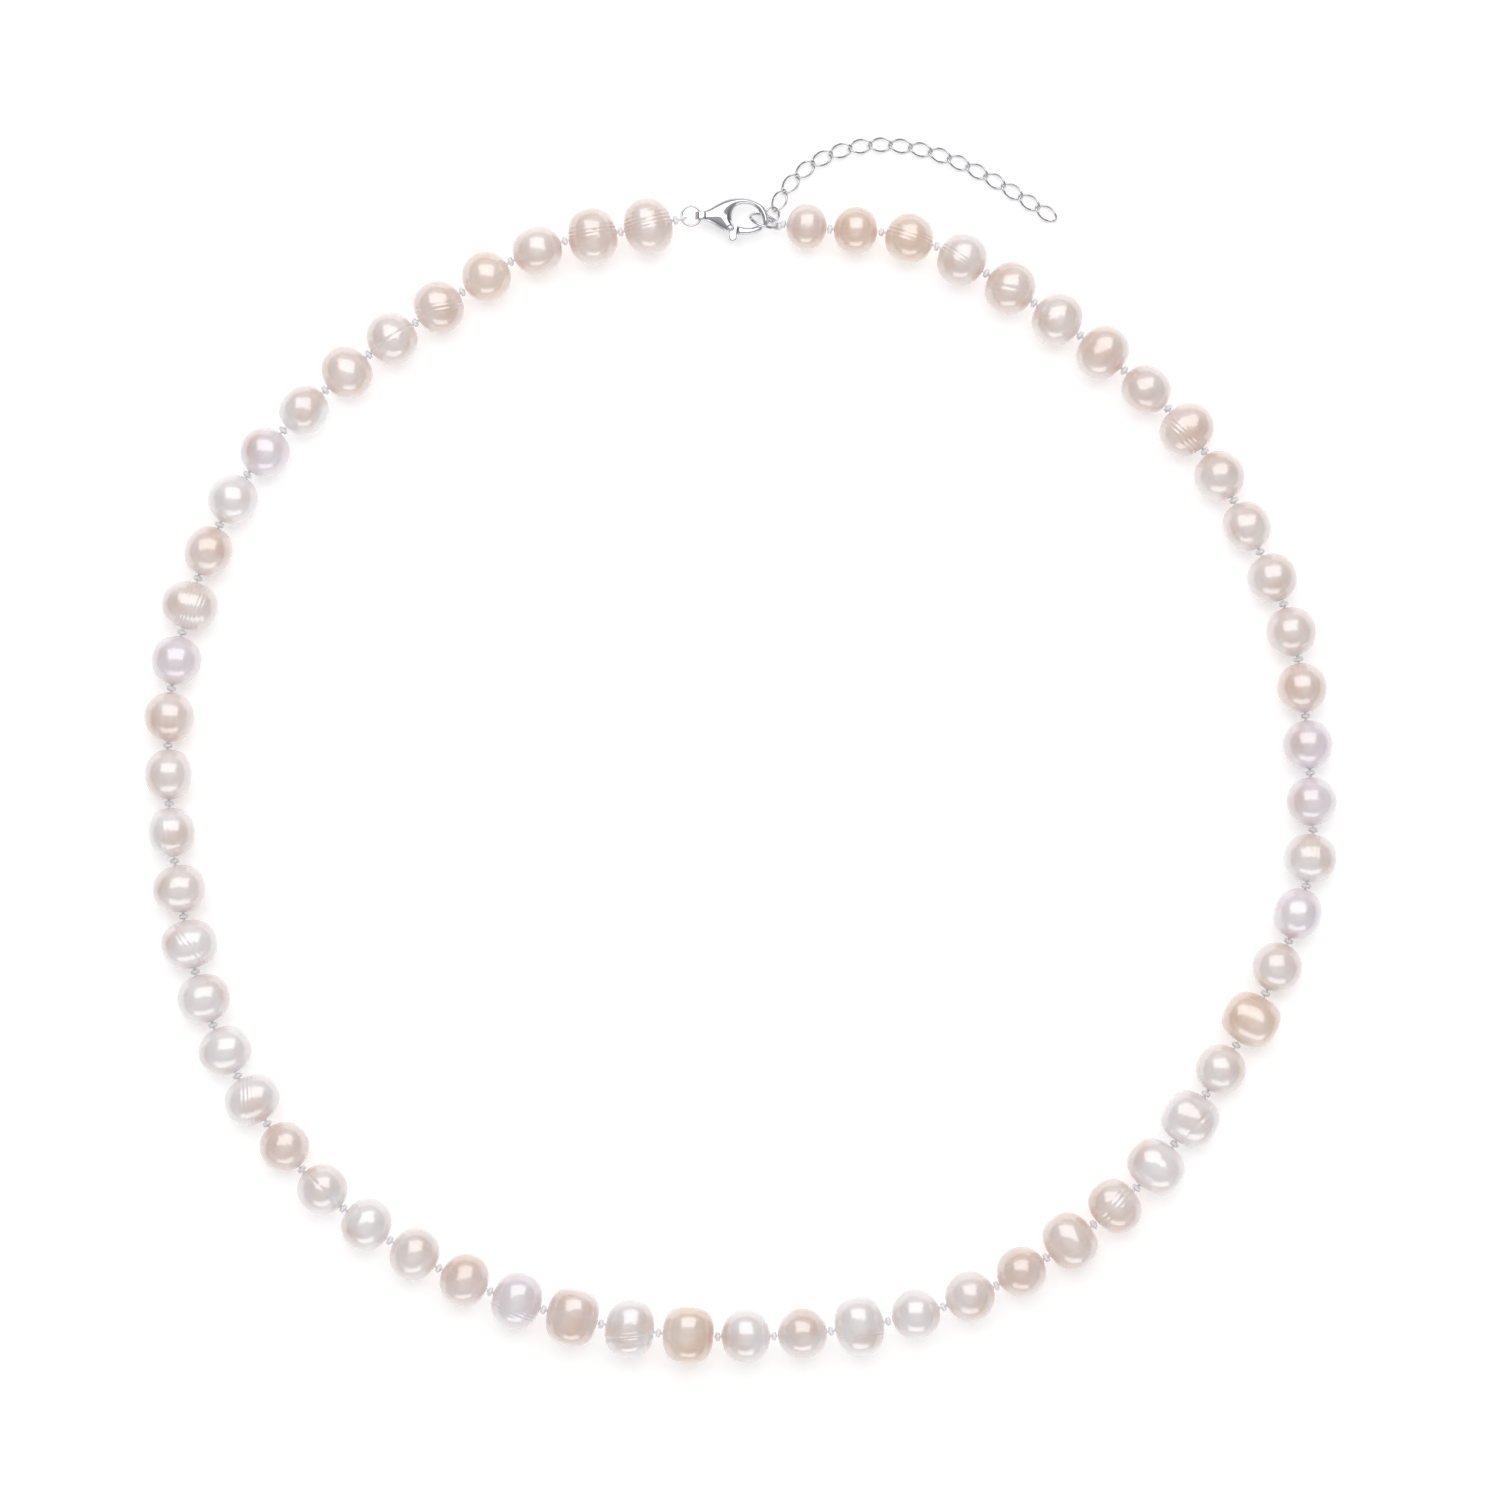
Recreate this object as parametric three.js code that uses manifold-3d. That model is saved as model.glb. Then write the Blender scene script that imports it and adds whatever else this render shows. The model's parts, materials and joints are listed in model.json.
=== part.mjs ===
// A knotted pearl necklace with a lobster clasp and an extender chain, lying closed on a table.
// Millimetres. +Z points up from the table at z = 0, +Y points from the middle pearl to the clasp,
// and the origin is the middle of the outline's box, on the table.
import * as THREE from "three";
import { mergeVertices } from "three/addons/utils/BufferGeometryUtils.js";
import Module from "manifold-3d";

const wasm = await Module();
wasm.setup();

// ---------------------------------------------------------------- driving dimensions

// Pearls are drilled across their longer axis. "along" lies on the silk, "across" is square to it.
const PEARL_KINDS = {
  a: { along: 5.3, across: 6.0 }, // smallest, next to the catch ring
  c: { along: 5.9, across: 6.3 }, // small
  r: { along: 6.6, across: 6.6 }, // round
  f: { along: 6.7, across: 6.2 }, // button, flatter across
  o: { along: 6.5, across: 7.0 }, // oval
  g: { along: 6.5, across: 7.4 }, // ringed oval
  b: { along: 6.9, across: 7.4 }, // barrel
  d: { along: 6.7, across: 7.7 }, // double-ringed
};

// The stringing order, from the catch ring round to the clasp, ten pearls to a group.
const STRINGING = [
  "acrooogfgr",
  "frrrrrofrb",
  "rbdgdrrrdr",
  "o",
  "bdbgooorrg",
  "oogoffrrgf",
  "rrfooorfgg",
].join("");
const MIDDLE_PEARL = 30;
const PAIRS_PER_ARM = 15;

// The line of the pearls' centres, from the pearl at the catch ring round to the pearl at the clasp.
const ROUTE = [
  [8.4, 66.8], [22.5, 65.0], [35.2, 58.4], [47.2, 49.8], [57.6, 40.1], [65.0, 27.9],
  [70.4, 15.1], [72.5, 1.0], [72.8, -14.5], [68.5, -28.4], [61.1, -41.7], [52.7, -54.0],
  [41.6, -63.5], [29.1, -70.3], [14.8, -74.1], [0.0, -75.3], [-14.4, -74.3], [-28.9, -70.7],
  [-41.9, -64.8], [-53.8, -56.3], [-62.6, -45.0], [-68.6, -32.6], [-71.9, -18.2],
  [-73.3, -3.8], [-72.5, 9.9], [-68.5, 24.3], [-62.0, 36.5], [-51.4, 47.3], [-39.0, 56.2],
  [-26.3, 63.6], [-11.9, 66.8],
];
const ROUTE_TENSION = 0.5;
const ROUTE_DIVISIONS = 1200;

// A pearl's outline as shares of its half sizes: where the belly ends and where the shoulder lies.
const BELLY_END = 0.26;
const SHOULDER = { across: 0.74, along: 0.7 };

const KNOT_RADIUS = 0.55;
const SILK_RADIUS = 0.22;
const KNOT_CLEARANCE = 0.14; // between a knot and the next pearl, which turns about that knot
const SILK_LOOP = { radius: 0.5, silk: 0.15 };

const CLASP_EYE = new THREE.Vector3(-5.15, 68.25, 2.0);
const CLASP_THICKNESS = 1.4;
const SLOT = { bottom: -0.4, top: 0.38 };
const PIVOT = [3.75, -1.55]; // of the lever, from the eye
const PIN_RADIUS = 0.28;
const PIN_PLAY = 0.04;
const EYE = { radius: 0.78, hole: 0.42, width: 1.0 };
const LEVER_HUB = { bottom: -0.35, top: 0.03 };
const LEVER_ARM_HALF = 0.5;
const SPRING = { radius: 0.43, wire: 0.05, bottom: 0.12, top: 0.29, turns: 1.6 };

const JUMP_RING = { radius: 1.25, wire: 0.15, centre: [-6.4, 68.2, 2.05], normal: [0, 0, 1] };
const CATCH_RING = {
  radius: 1.85,
  wire: 0.2,
  centre: [2.95, 67.6, 2.1],
  lean: 64, // degrees from lying flat
  heading: -20, // of its level diameter
};
const CONNECTOR = { radius: 0.94, wire: 0.15, height: 0.56, normal: [-0.4, 0.2, -0.9] };
const CONNECTOR_AT = 70; // degrees round the catch ring, from its level diameter downwards

const LINK_COUNT = 16;
const LINK = { half: 1.51, halfWidth: 0.84, wire: 0.14, twist: 50, pitch: 2.6 };
const LINK_HEIGHT = 0.5;
const CHAIN_START = 63; // heading of the first link, degrees
const CHAIN_REACH = 1.0; // from the catch ring's wire to the first link's near end
const CONNECTOR_SHARE = 0.47; // of that reach, to the connector ring's centre
const FIRST_TURN = 12.7; // how much the second link turns to the right of the first, degrees
const TURN_DROP = 0.9; // each later turn is this much smaller

// Facets per turn: flat sides then face the table and the neighbours on the silk.
const PEARL_SIDES = 12;
const KNOT_SIDES = 5;
const KNOT_RINGS = 3;
const SILK_SIDES = 4;
const SILK_LOOP_STEPS = 10;
const WIRE_SIDES = 6;
const RING_STEPS = 18;
const HOLE_SIDES = 12;
const LINK_SIDES = 5;
const LINK_STEPS = 18;
const SPRING_STOPS = 10;
const SPRING_STEPS = 20;

const WELD = 1e-4; // corners nearer than this are one corner
const SMALL_TURN = 0.01; // radians, to find the way a curve runs

const PEARL_WHITE = { color: 0xdcd0cc, roughness: 0.28, metalness: 0.0 };
const SILVER = { color: 0xd9d9dc, roughness: 0.22, metalness: 1.0 };
const SPRING_STEEL = { color: 0xb4b6ba, roughness: 0.35, metalness: 1.0 };

// ---------------------------------------------------------------- helpers

const radians = THREE.MathUtils.degToRad;
const X_AXIS = new THREE.Vector3(1, 0, 0);
const Z_AXIS = new THREE.Vector3(0, 0, 1);

function solidOf(geometry) {
  const flat = geometry.clone();
  flat.deleteAttribute("normal");
  flat.deleteAttribute("uv");
  const merged = mergeVertices(flat, WELD);
  return new wasm.Manifold(
    new wasm.Mesh({
      numProp: 3,
      vertProperties: new Float32Array(merged.attributes.position.array),
      triVerts: new Uint32Array(merged.index.array),
    }),
  );
}

function geometryOf(solid) {
  const mesh = solid.getMesh();
  const geometry = new THREE.BufferGeometry();
  geometry.setAttribute("position", new THREE.BufferAttribute(mesh.vertProperties, mesh.numProp));
  geometry.setIndex(new THREE.BufferAttribute(mesh.triVerts, 1));
  geometry.computeVertexNormals();
  return geometry;
}

function joined(solids) {
  return solids.reduce((sum, next) => sum.add(next));
}

function named(name, geometry, finish) {
  const mesh = new THREE.Mesh(geometry, new THREE.MeshStandardMaterial(finish));
  mesh.name = name;
  return mesh;
}

// A straight rod between two points.
function rod(from, to, radius, sides) {
  const way = new THREE.Vector3().subVectors(to, from);
  const geometry = new THREE.CylinderGeometry(radius, radius, way.length(), sides);
  geometry.rotateZ(-Math.PI / 2);
  const turn = new THREE.Quaternion().setFromUnitVectors(X_AXIS, way.clone().normalize());
  geometry.applyQuaternion(turn);
  const middle = new THREE.Vector3().addVectors(from, to).multiplyScalar(0.5);
  return geometry.translate(middle.x, middle.y, middle.z);
}

// A round ring of round wire about the given axis through the origin.
function ring(radius, wire, axis, steps = RING_STEPS) {
  const geometry = new THREE.TorusGeometry(radius, wire, WIRE_SIDES, steps);
  return geometry.applyQuaternion(
    new THREE.Quaternion().setFromUnitVectors(Z_AXIS, axis.clone().normalize()),
  );
}

function circlePoints(x, y, radius, sides) {
  return Array.from({ length: sides }, (_, k) => {
    const turn = (k / sides) * 2 * Math.PI;
    return new THREE.Vector2(x + radius * Math.cos(turn), y + radius * Math.sin(turn));
  });
}

function flatOutline(points, holes = []) {
  const shape = new THREE.Shape(points.map(([x, y]) => new THREE.Vector2(x, y)));
  for (const [x, y, radius] of holes) {
    shape.holes.push(new THREE.Path(circlePoints(x, y, radius, HOLE_SIDES)));
  }
  return shape;
}

// A plate of the given outline between two heights.
function plate(shape, bottom, top) {
  const geometry = new THREE.ExtrudeGeometry(shape, {
    depth: top - bottom,
    bevelEnabled: false,
  });
  return geometry.translate(0, 0, bottom);
}

// ---------------------------------------------------------------- strand of pearls

// Where each pearl and each knot lies. The silk between two pearls holds one knot, and all the
// knots are equally long, so the pearls fill the route from its first point to its last.
function layStrand() {
  const points = ROUTE.map(([x, y]) => new THREE.Vector3(x, y, 0));
  const route = new THREE.CatmullRomCurve3(points, false, "catmullrom", ROUTE_TENSION);
  route.arcLengthDivisions = ROUTE_DIVISIONS;
  const total = route.getLength();
  const kinds = [...STRINGING].map((letter) => PEARL_KINDS[letter]);
  const lengths = kinds.map((kind) => kind.along);
  const filled = lengths.reduce((sum, along) => sum + along, 0);
  const ends = (lengths[0] + lengths.at(-1)) / 2;
  const gap = (total - filled + ends) / (kinds.length - 1);

  const pearls = [];
  let travelled = 0;
  kinds.forEach((kind, index) => {
    if (index > 0) travelled += lengths[index - 1] / 2 + gap + lengths[index] / 2;
    const share = Math.min(travelled / total, 1);
    const centre = route.getPointAt(share).setZ(kind.along / 2);
    const tangent = route.getTangentAt(share);
    pearls.push({ ...kind, centre, tangent, heading: Math.atan2(tangent.y, tangent.x) });
  });

  // knots[i] lies before pearl i, and the last one lies after the last pearl.
  const faceOf = (pearl, side) =>
    pearl.centre.clone().addScaledVector(pearl.tangent, (side * pearl.along) / 2);
  const knots = pearls.map((pearl, index) => {
    if (index === 0) return faceOf(pearl, -1).addScaledVector(pearl.tangent, -gap / 2);
    return faceOf(pearls[index - 1], 1).add(faceOf(pearl, -1)).multiplyScalar(0.5);
  });
  const last = pearls.at(-1);
  knots.push(faceOf(last, 1).addScaledVector(last.tangent, gap / 2));
  return { pearls, knots, gap };
}

// One pearl: a turned shape about its long axis, which lies level and square to the silk.
function pearlSolid(pearl) {
  const belly = pearl.along / 2 / Math.cos(Math.PI / PEARL_SIDES);
  const tip = pearl.across / 2;
  const profile = [
    new THREE.Vector2(0, -tip),
    new THREE.Vector2(SHOULDER.along * belly, -SHOULDER.across * tip),
    new THREE.Vector2(belly, -BELLY_END * tip),
    new THREE.Vector2(belly, BELLY_END * tip),
    new THREE.Vector2(SHOULDER.along * belly, SHOULDER.across * tip),
    new THREE.Vector2(0, tip),
  ];
  const geometry = new THREE.LatheGeometry(profile, PEARL_SIDES, Math.PI / PEARL_SIDES);
  geometry.rotateZ(pearl.heading);
  geometry.translate(pearl.centre.x, pearl.centre.y, pearl.centre.z);
  return solidOf(geometry);
}

function knotSolid(knot, heading, gap) {
  const geometry = new THREE.SphereGeometry(KNOT_RADIUS, KNOT_SIDES, KNOT_RINGS);
  geometry.rotateX(Math.PI / 2);
  geometry.scale((gap / 2 - KNOT_CLEARANCE) / KNOT_RADIUS, 1, 1);
  geometry.rotateZ(heading);
  geometry.translate(knot.x, knot.y, knot.z);
  return solidOf(geometry);
}

// The silk turned back on itself through a ring and tied off in the end knot.
function silkLoop(knot, through, wireDirection) {
  const loop = ring(SILK_LOOP.radius, SILK_LOOP.silk, wireDirection, SILK_LOOP_STEPS);
  loop.translate(through.x, through.y, through.z);
  const back = new THREE.Vector3().subVectors(knot, through).normalize();
  back.addScaledVector(wireDirection, -back.dot(wireDirection)).normalize();
  const root = through.clone().addScaledVector(back, SILK_LOOP.radius);
  return solidOf(loop).add(solidOf(rod(knot, root, SILK_RADIUS, SILK_SIDES)));
}

const strand = layStrand();

// A run of neighbouring pearls on their silk. A knot inside the run joins two pearls. A knot in
// "free" ends the run, and the next run turns about it.
function strandPiece(name, origin, members, free, extras = []) {
  const { pearls, knots, gap } = strand;
  const solids = members.map((index) => pearlSolid(pearls[index]));
  const inside = members.slice(1).map((index, k) => Math.max(index, members[k]));
  for (const index of inside) {
    solids.push(knotSolid(knots[index], pearls[index].heading, gap));
    const [before, after] = [pearls[index - 1].centre, pearls[index].centre];
    solids.push(solidOf(rod(before, after, SILK_RADIUS, SILK_SIDES)));
  }
  for (const index of free) {
    const near = members.find((member) => member === index || member === index - 1);
    solids.push(knotSolid(knots[index], pearls[near].heading, gap));
    solids.push(solidOf(rod(pearls[near].centre, knots[index], SILK_RADIUS, SILK_SIDES)));
  }
  const geometry = geometryOf(joined([...solids, ...extras]));
  geometry.translate(-origin.x, -origin.y, -origin.z);
  const mesh = named(name, geometry, PEARL_WHITE);
  mesh.position.copy(origin);
  return mesh;
}

// ---------------------------------------------------------------- rings

const jumpCentre = new THREE.Vector3(...JUMP_RING.centre);
const catchCentre = new THREE.Vector3(...CATCH_RING.centre);
const catchLevel = new THREE.Vector3(
  Math.cos(radians(CATCH_RING.heading)),
  Math.sin(radians(CATCH_RING.heading)),
  0,
);
const catchDown = new THREE.Vector3(-catchLevel.y, catchLevel.x, 0)
  .multiplyScalar(Math.cos(radians(CATCH_RING.lean)))
  .setZ(-Math.sin(radians(CATCH_RING.lean)));

function onCatchRing(degrees) {
  return catchCentre
    .clone()
    .addScaledVector(catchLevel, CATCH_RING.radius * Math.cos(radians(degrees)))
    .addScaledVector(catchDown, CATCH_RING.radius * Math.sin(radians(degrees)));
}

function jumpRing() {
  const normal = new THREE.Vector3(...JUMP_RING.normal);
  const mesh = named("jump_ring", ring(JUMP_RING.radius, JUMP_RING.wire, normal), SILVER);
  mesh.position.copy(jumpCentre);
  return mesh;
}

function catchRing() {
  const normal = new THREE.Vector3().crossVectors(catchLevel, catchDown);
  const mesh = named("catch_ring", ring(CATCH_RING.radius, CATCH_RING.wire, normal), SILVER);
  mesh.position.copy(catchCentre);
  return mesh;
}

function chainDirection(degrees) {
  return new THREE.Vector3(Math.cos(radians(degrees)), Math.sin(radians(degrees)), 0);
}

function connectorRing() {
  const normal = new THREE.Vector3(...CONNECTOR.normal);
  const mesh = named("connector_ring", ring(CONNECTOR.radius, CONNECTOR.wire, normal), SILVER);
  const middle = onCatchRing(CONNECTOR_AT).setZ(CONNECTOR.height);
  mesh.position.copy(middle.addScaledVector(chainDirection(CHAIN_START), CONNECTOR_SHARE * CHAIN_REACH));
  return mesh;
}

// ---------------------------------------------------------------- lobster clasp

// Outline of the body and its hook, from the eye along the top, round the hook's nose, back
// inside it and home along the bottom. Origin at the eye, +X towards the nose.
const BODY_OUTLINE = [
  [0.2, 0.5], [1.0, 0.85], [2.1, 1.5], [3.3, 2.05], [4.6, 2.25], [5.9, 2.2], [7.0, 1.85],
  [7.9, 1.3], [8.5, 0.4], [8.7, -0.4], [8.65, -1.1], [8.35, -1.55], [8.05, -1.45],
  [7.95, -0.9], [7.8, -0.2], [7.3, 0.8],
  [6.4, 1.35], [5.3, 1.45], [4.5, 1.15], [4.05, 0.5], [3.95, -0.3], [4.1, -0.9], [4.42, -1.35],
  [4.4, -1.8], [4.05, -2.15], [3.4, -2.2], [2.7, -1.85], [1.7, -1.25], [1.0, -0.85], [0.2, -0.5],
];

// The lever's slot, open to the hook and to the thumb tab.
const SLOT_OUTLINE = [
  [3.1, -0.85], [4.2, -0.6], [5.2, -0.6], [5.2, -3.0], [2.9, -3.0], [3.0, -1.9],
];

// The lever: hub, thumb tab and the gate arm whose end closes the hook.
const LEVER_HUB_OUTLINE = [
  [3.42, -1.15], [3.75, -1.02], [4.15, -1.12], [5.1, -1.4], [5.3, -2.1], [4.65, -2.3],
  [4.6, -2.9], [4.2, -3.25], [3.8, -3.2], [3.62, -2.9], [3.55, -2.1], [3.3, -1.75],
];
const LEVER_ARM_OUTLINE = [
  [4.75, -1.38], [5.6, -1.52], [6.5, -1.5], [7.2, -1.3], [7.8, -1.05], [7.92, -1.5],
  [7.7, -1.95], [6.8, -2.35], [5.8, -2.48], [4.75, -2.4],
];

function claspBody() {
  const half = CLASP_THICKNESS / 2;
  const body = solidOf(plate(flatOutline(BODY_OUTLINE), -half, half));
  const barrel = rod(
    new THREE.Vector3(0, -EYE.width / 2, 0),
    new THREE.Vector3(0, EYE.width / 2, 0),
    EYE.radius,
    HOLE_SIDES,
  );
  const bore = rod(
    new THREE.Vector3(0, -EYE.width, 0),
    new THREE.Vector3(0, EYE.width, 0),
    EYE.hole,
    HOLE_SIDES,
  );
  const slot = plate(flatOutline(SLOT_OUTLINE), SLOT.bottom, SLOT.top);
  const pinHole = rod(
    new THREE.Vector3(...PIVOT, -CLASP_THICKNESS),
    new THREE.Vector3(...PIVOT, CLASP_THICKNESS),
    PIN_RADIUS + PIN_PLAY,
    HOLE_SIDES,
  );
  const made = body
    .add(solidOf(barrel))
    .subtract(solidOf(bore))
    .subtract(solidOf(slot))
    .subtract(solidOf(pinHole));
  return named("clasp_body", geometryOf(made), SILVER);
}

function claspLever() {
  const hole = [...PIVOT, PIN_RADIUS + PIN_PLAY];
  const hub = plate(flatOutline(LEVER_HUB_OUTLINE, [hole]), LEVER_HUB.bottom, LEVER_HUB.top);
  const arm = plate(flatOutline(LEVER_ARM_OUTLINE), -LEVER_ARM_HALF, LEVER_ARM_HALF);
  const geometry = geometryOf(solidOf(hub).add(solidOf(arm)));
  geometry.translate(-PIVOT[0], -PIVOT[1], 0);
  const mesh = named("clasp_lever", geometry, SILVER);
  mesh.position.set(...PIVOT, 0);
  return mesh;
}

function claspPin() {
  const half = CLASP_THICKNESS / 2;
  const geometry = rod(
    new THREE.Vector3(0, 0, -half),
    new THREE.Vector3(0, 0, half),
    PIN_RADIUS,
    HOLE_SIDES,
  );
  const mesh = named("clasp_pin", geometry, SILVER);
  mesh.position.set(...PIVOT, 0);
  return mesh;
}

// The torsion spring wound round the pin, over the lever's hub, that pushes the gate shut.
function claspSpring() {
  const points = [];
  for (let k = 0; k <= SPRING_STOPS; k += 1) {
    const turn = (k / SPRING_STOPS) * SPRING.turns * 2 * Math.PI;
    const height = THREE.MathUtils.lerp(SPRING.bottom, SPRING.top, k / SPRING_STOPS);
    const [x, y] = [SPRING.radius * Math.cos(turn), SPRING.radius * Math.sin(turn)];
    points.push(new THREE.Vector3(x, y, height));
  }
  const section = new THREE.Shape(circlePoints(0, 0, SPRING.wire, WIRE_SIDES));
  const geometry = new THREE.ExtrudeGeometry(section, {
    steps: SPRING_STEPS,
    extrudePath: new THREE.CatmullRomCurve3(points),
  });
  const mesh = named("clasp_spring", geometry, SPRING_STEEL);
  mesh.position.set(...PIVOT, 0);
  return mesh;
}

function clasp() {
  const group = new THREE.Group();
  group.position.copy(CLASP_EYE);
  group.add(claspBody(), claspLever(), claspPin(), claspSpring());
  return group;
}

// ---------------------------------------------------------------- extender chain

// A curb link's centre line: an oval twisted about its long axis, so that neighbours lie flat.
function curbPoint(turn) {
  const tilt = radians(LINK.twist) * Math.cos(turn);
  return new THREE.Vector3(
    LINK.half * Math.cos(turn),
    LINK.halfWidth * Math.sin(turn) * Math.cos(tilt),
    LINK.halfWidth * Math.sin(turn) * Math.sin(tilt),
  );
}

// A torus bent onto the curb link's centre line.
function linkGeometry() {
  const geometry = new THREE.TorusGeometry(1, LINK.wire, LINK_SIDES, LINK_STEPS);
  const place = geometry.attributes.position;
  for (let k = 0; k < place.count; k += 1) {
    const [x, y, z] = [place.getX(k), place.getY(k), place.getZ(k)];
    const turn = Math.atan2(y, x);
    const centre = curbPoint(turn);
    const forward = curbPoint(turn + SMALL_TURN).sub(curbPoint(turn - SMALL_TURN)).normalize();
    const outward = centre.clone().addScaledVector(forward, -centre.dot(forward)).normalize();
    const sideways = new THREE.Vector3().crossVectors(outward, forward);
    centre.addScaledVector(outward, Math.hypot(x, y) - 1).addScaledVector(sideways, z);
    place.setXYZ(k, centre.x, centre.y, centre.z);
  }
  return geometry;
}

function extenderChain() {
  const group = new THREE.Group();
  const near = onCatchRing(CONNECTOR_AT).setZ(LINK_HEIGHT);
  let heading = CHAIN_START;
  near.addScaledVector(chainDirection(heading), CHAIN_REACH);
  const middle = near.addScaledVector(chainDirection(heading), LINK.half);
  for (let k = 1; k <= LINK_COUNT; k += 1) {
    const mesh = named(`chain_link_${String(k).padStart(2, "0")}`, linkGeometry(), SILVER);
    mesh.position.copy(middle);
    mesh.rotation.z = radians(heading);
    group.add(mesh);
    const turn = Math.max(FIRST_TURN - (k - 1) * TURN_DROP, 0);
    middle.addScaledVector(chainDirection(heading), LINK.pitch / 2);
    heading -= turn;
    middle.addScaledVector(chainDirection(heading), LINK.pitch / 2);
  }
  return group;
}

// ---------------------------------------------------------------- assembly

function armOfPearls(side, step) {
  const group = new THREE.Group();
  for (let k = 1; k <= PAIRS_PER_ARM; k += 1) {
    const inner = MIDDLE_PEARL + step * (2 * k - 1);
    const outer = inner + step;
    const hingeKnot = step > 0 ? inner : inner + 1;
    const endKnot = step > 0 ? outer + 1 : outer;
    const extras = k === PAIRS_PER_ARM ? [endLoop(side, strand.knots[endKnot])] : [];
    const name = `pearls_${side}_${String(k).padStart(2, "0")}`;
    group.add(strandPiece(name, strand.knots[hingeKnot], [inner, outer], [endKnot], extras));
  }
  return group;
}

function endLoop(side, knot) {
  if (side === "right") {
    const wireDirection = catchDown.clone();
    return silkLoop(knot, onCatchRing(0), wireDirection);
  }
  const towardsKnot = new THREE.Vector3().subVectors(knot, jumpCentre).setZ(0).normalize();
  const through = jumpCentre.clone().addScaledVector(towardsKnot, JUMP_RING.radius);
  return silkLoop(knot, through, new THREE.Vector3(-towardsKnot.y, towardsKnot.x, 0));
}

const necklace = new THREE.Group();
const middleKnots = [MIDDLE_PEARL, MIDDLE_PEARL + 1];
const middlePlace = strand.pearls[MIDDLE_PEARL].centre.clone();
necklace.add(strandPiece("pearl_middle", middlePlace, [MIDDLE_PEARL], middleKnots));
necklace.add(armOfPearls("right", -1), armOfPearls("left", 1));
necklace.add(jumpRing(), clasp(), catchRing(), connectorRing(), extenderChain());

export default necklace;
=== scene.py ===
# %% [markdown]
# A knotted necklace of potato pearls, closed in a ring on a white table.
# Sixty-one pearls sit on a silk thread with a knot between every two. A small lobster clasp on
# one end hooks the catch ring on the other, and an extender chain of curb links hangs from it.
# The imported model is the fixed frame: it says where each piece is and which body carries it.
# This script only dresses it, in metres, with +Z up and the table at zero.

# %% Load the frame
import json
import math
from functools import partialmethod
from itertools import product

import bmesh
import bpy
import numpy as np
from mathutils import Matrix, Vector


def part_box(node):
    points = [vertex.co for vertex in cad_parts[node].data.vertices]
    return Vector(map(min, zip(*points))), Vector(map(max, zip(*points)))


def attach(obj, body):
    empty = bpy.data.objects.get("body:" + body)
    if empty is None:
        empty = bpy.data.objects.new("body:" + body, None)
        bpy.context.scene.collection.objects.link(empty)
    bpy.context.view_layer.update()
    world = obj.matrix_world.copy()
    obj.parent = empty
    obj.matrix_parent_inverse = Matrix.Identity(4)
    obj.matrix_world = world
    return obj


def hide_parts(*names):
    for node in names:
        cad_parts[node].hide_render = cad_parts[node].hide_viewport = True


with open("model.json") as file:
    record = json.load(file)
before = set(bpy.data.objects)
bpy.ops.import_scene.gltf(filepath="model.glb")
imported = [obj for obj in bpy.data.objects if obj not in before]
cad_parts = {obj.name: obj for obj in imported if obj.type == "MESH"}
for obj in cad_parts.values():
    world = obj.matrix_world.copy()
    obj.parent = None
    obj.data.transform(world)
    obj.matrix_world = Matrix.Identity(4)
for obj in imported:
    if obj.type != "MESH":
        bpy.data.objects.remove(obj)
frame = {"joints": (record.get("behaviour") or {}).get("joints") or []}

scene = bpy.context.scene
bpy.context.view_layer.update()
joint_places = {joint["name"]: Vector(joint["pos_m"]) for joint in frame["joints"]}

# %% [markdown]
# Jewellery is measured in millimetres, and Blender works in metres, so every size below is
# written in millimetres and turned over by one factor. These are the maker's sizes of the
# strand: eight kinds of pearl, the order they are strung in, and the line they lie along.
# The drill goes through the short way of a potato pearl, so "along" is the size on the silk.

# %% Sizes of the strand
MM = 0.001
PEARL_KINDS = {
    "a": (5.3, 6.0),
    "c": (5.9, 6.3),
    "r": (6.6, 6.6),
    "f": (6.7, 6.2),
    "o": (6.5, 7.0),
    "g": (6.5, 7.4),
    "b": (6.9, 7.4),
    "d": (6.7, 7.7),
}
STRINGING = "".join(
    ("acrooogfgr", "frrrrrofrb", "rbdgdrrrdr", "o", "bdbgooorrg", "oogoffrrgf", "rrfooorfgg")
)
MIDDLE_PEARL = 30
PAIRS_PER_ARM = 15
ROUTE = [
    (8.4, 66.8), (22.5, 65.0), (35.2, 58.4), (47.2, 49.8), (57.6, 40.1), (65.0, 27.9),
    (70.4, 15.1), (72.5, 1.0), (72.8, -14.5), (68.5, -28.4), (61.1, -41.7), (52.7, -54.0),
    (41.6, -63.5), (29.1, -70.3), (14.8, -74.1), (0.0, -75.3), (-14.4, -74.3), (-28.9, -70.7),
    (-41.9, -64.8), (-53.8, -56.3), (-62.6, -45.0), (-68.6, -32.6), (-71.9, -18.2),
    (-73.3, -3.8), (-72.5, 9.9), (-68.5, 24.3), (-62.0, 36.5), (-51.4, 47.3), (-39.0, 56.2),
    (-26.3, 63.6), (-11.9, 66.8),
]
ROUTE_STEPS = 1200
TANGENT_STEP = 1e-4
print("strand:", len(STRINGING), "pearls,", 2 * PAIRS_PER_ARM, "pairs round the middle one")

# %% [markdown]
# A strand lies in one smooth curve. A Catmull-Rom curve runs through every point of the route,
# and a table of its length lets pearls be set down one after another with equal gaps, as they
# are when each knot is pushed up against the last pearl. The same rule laid out the frame, so
# the knots must fall on the frame's joints, and the cell prints how far off they are.


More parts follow.
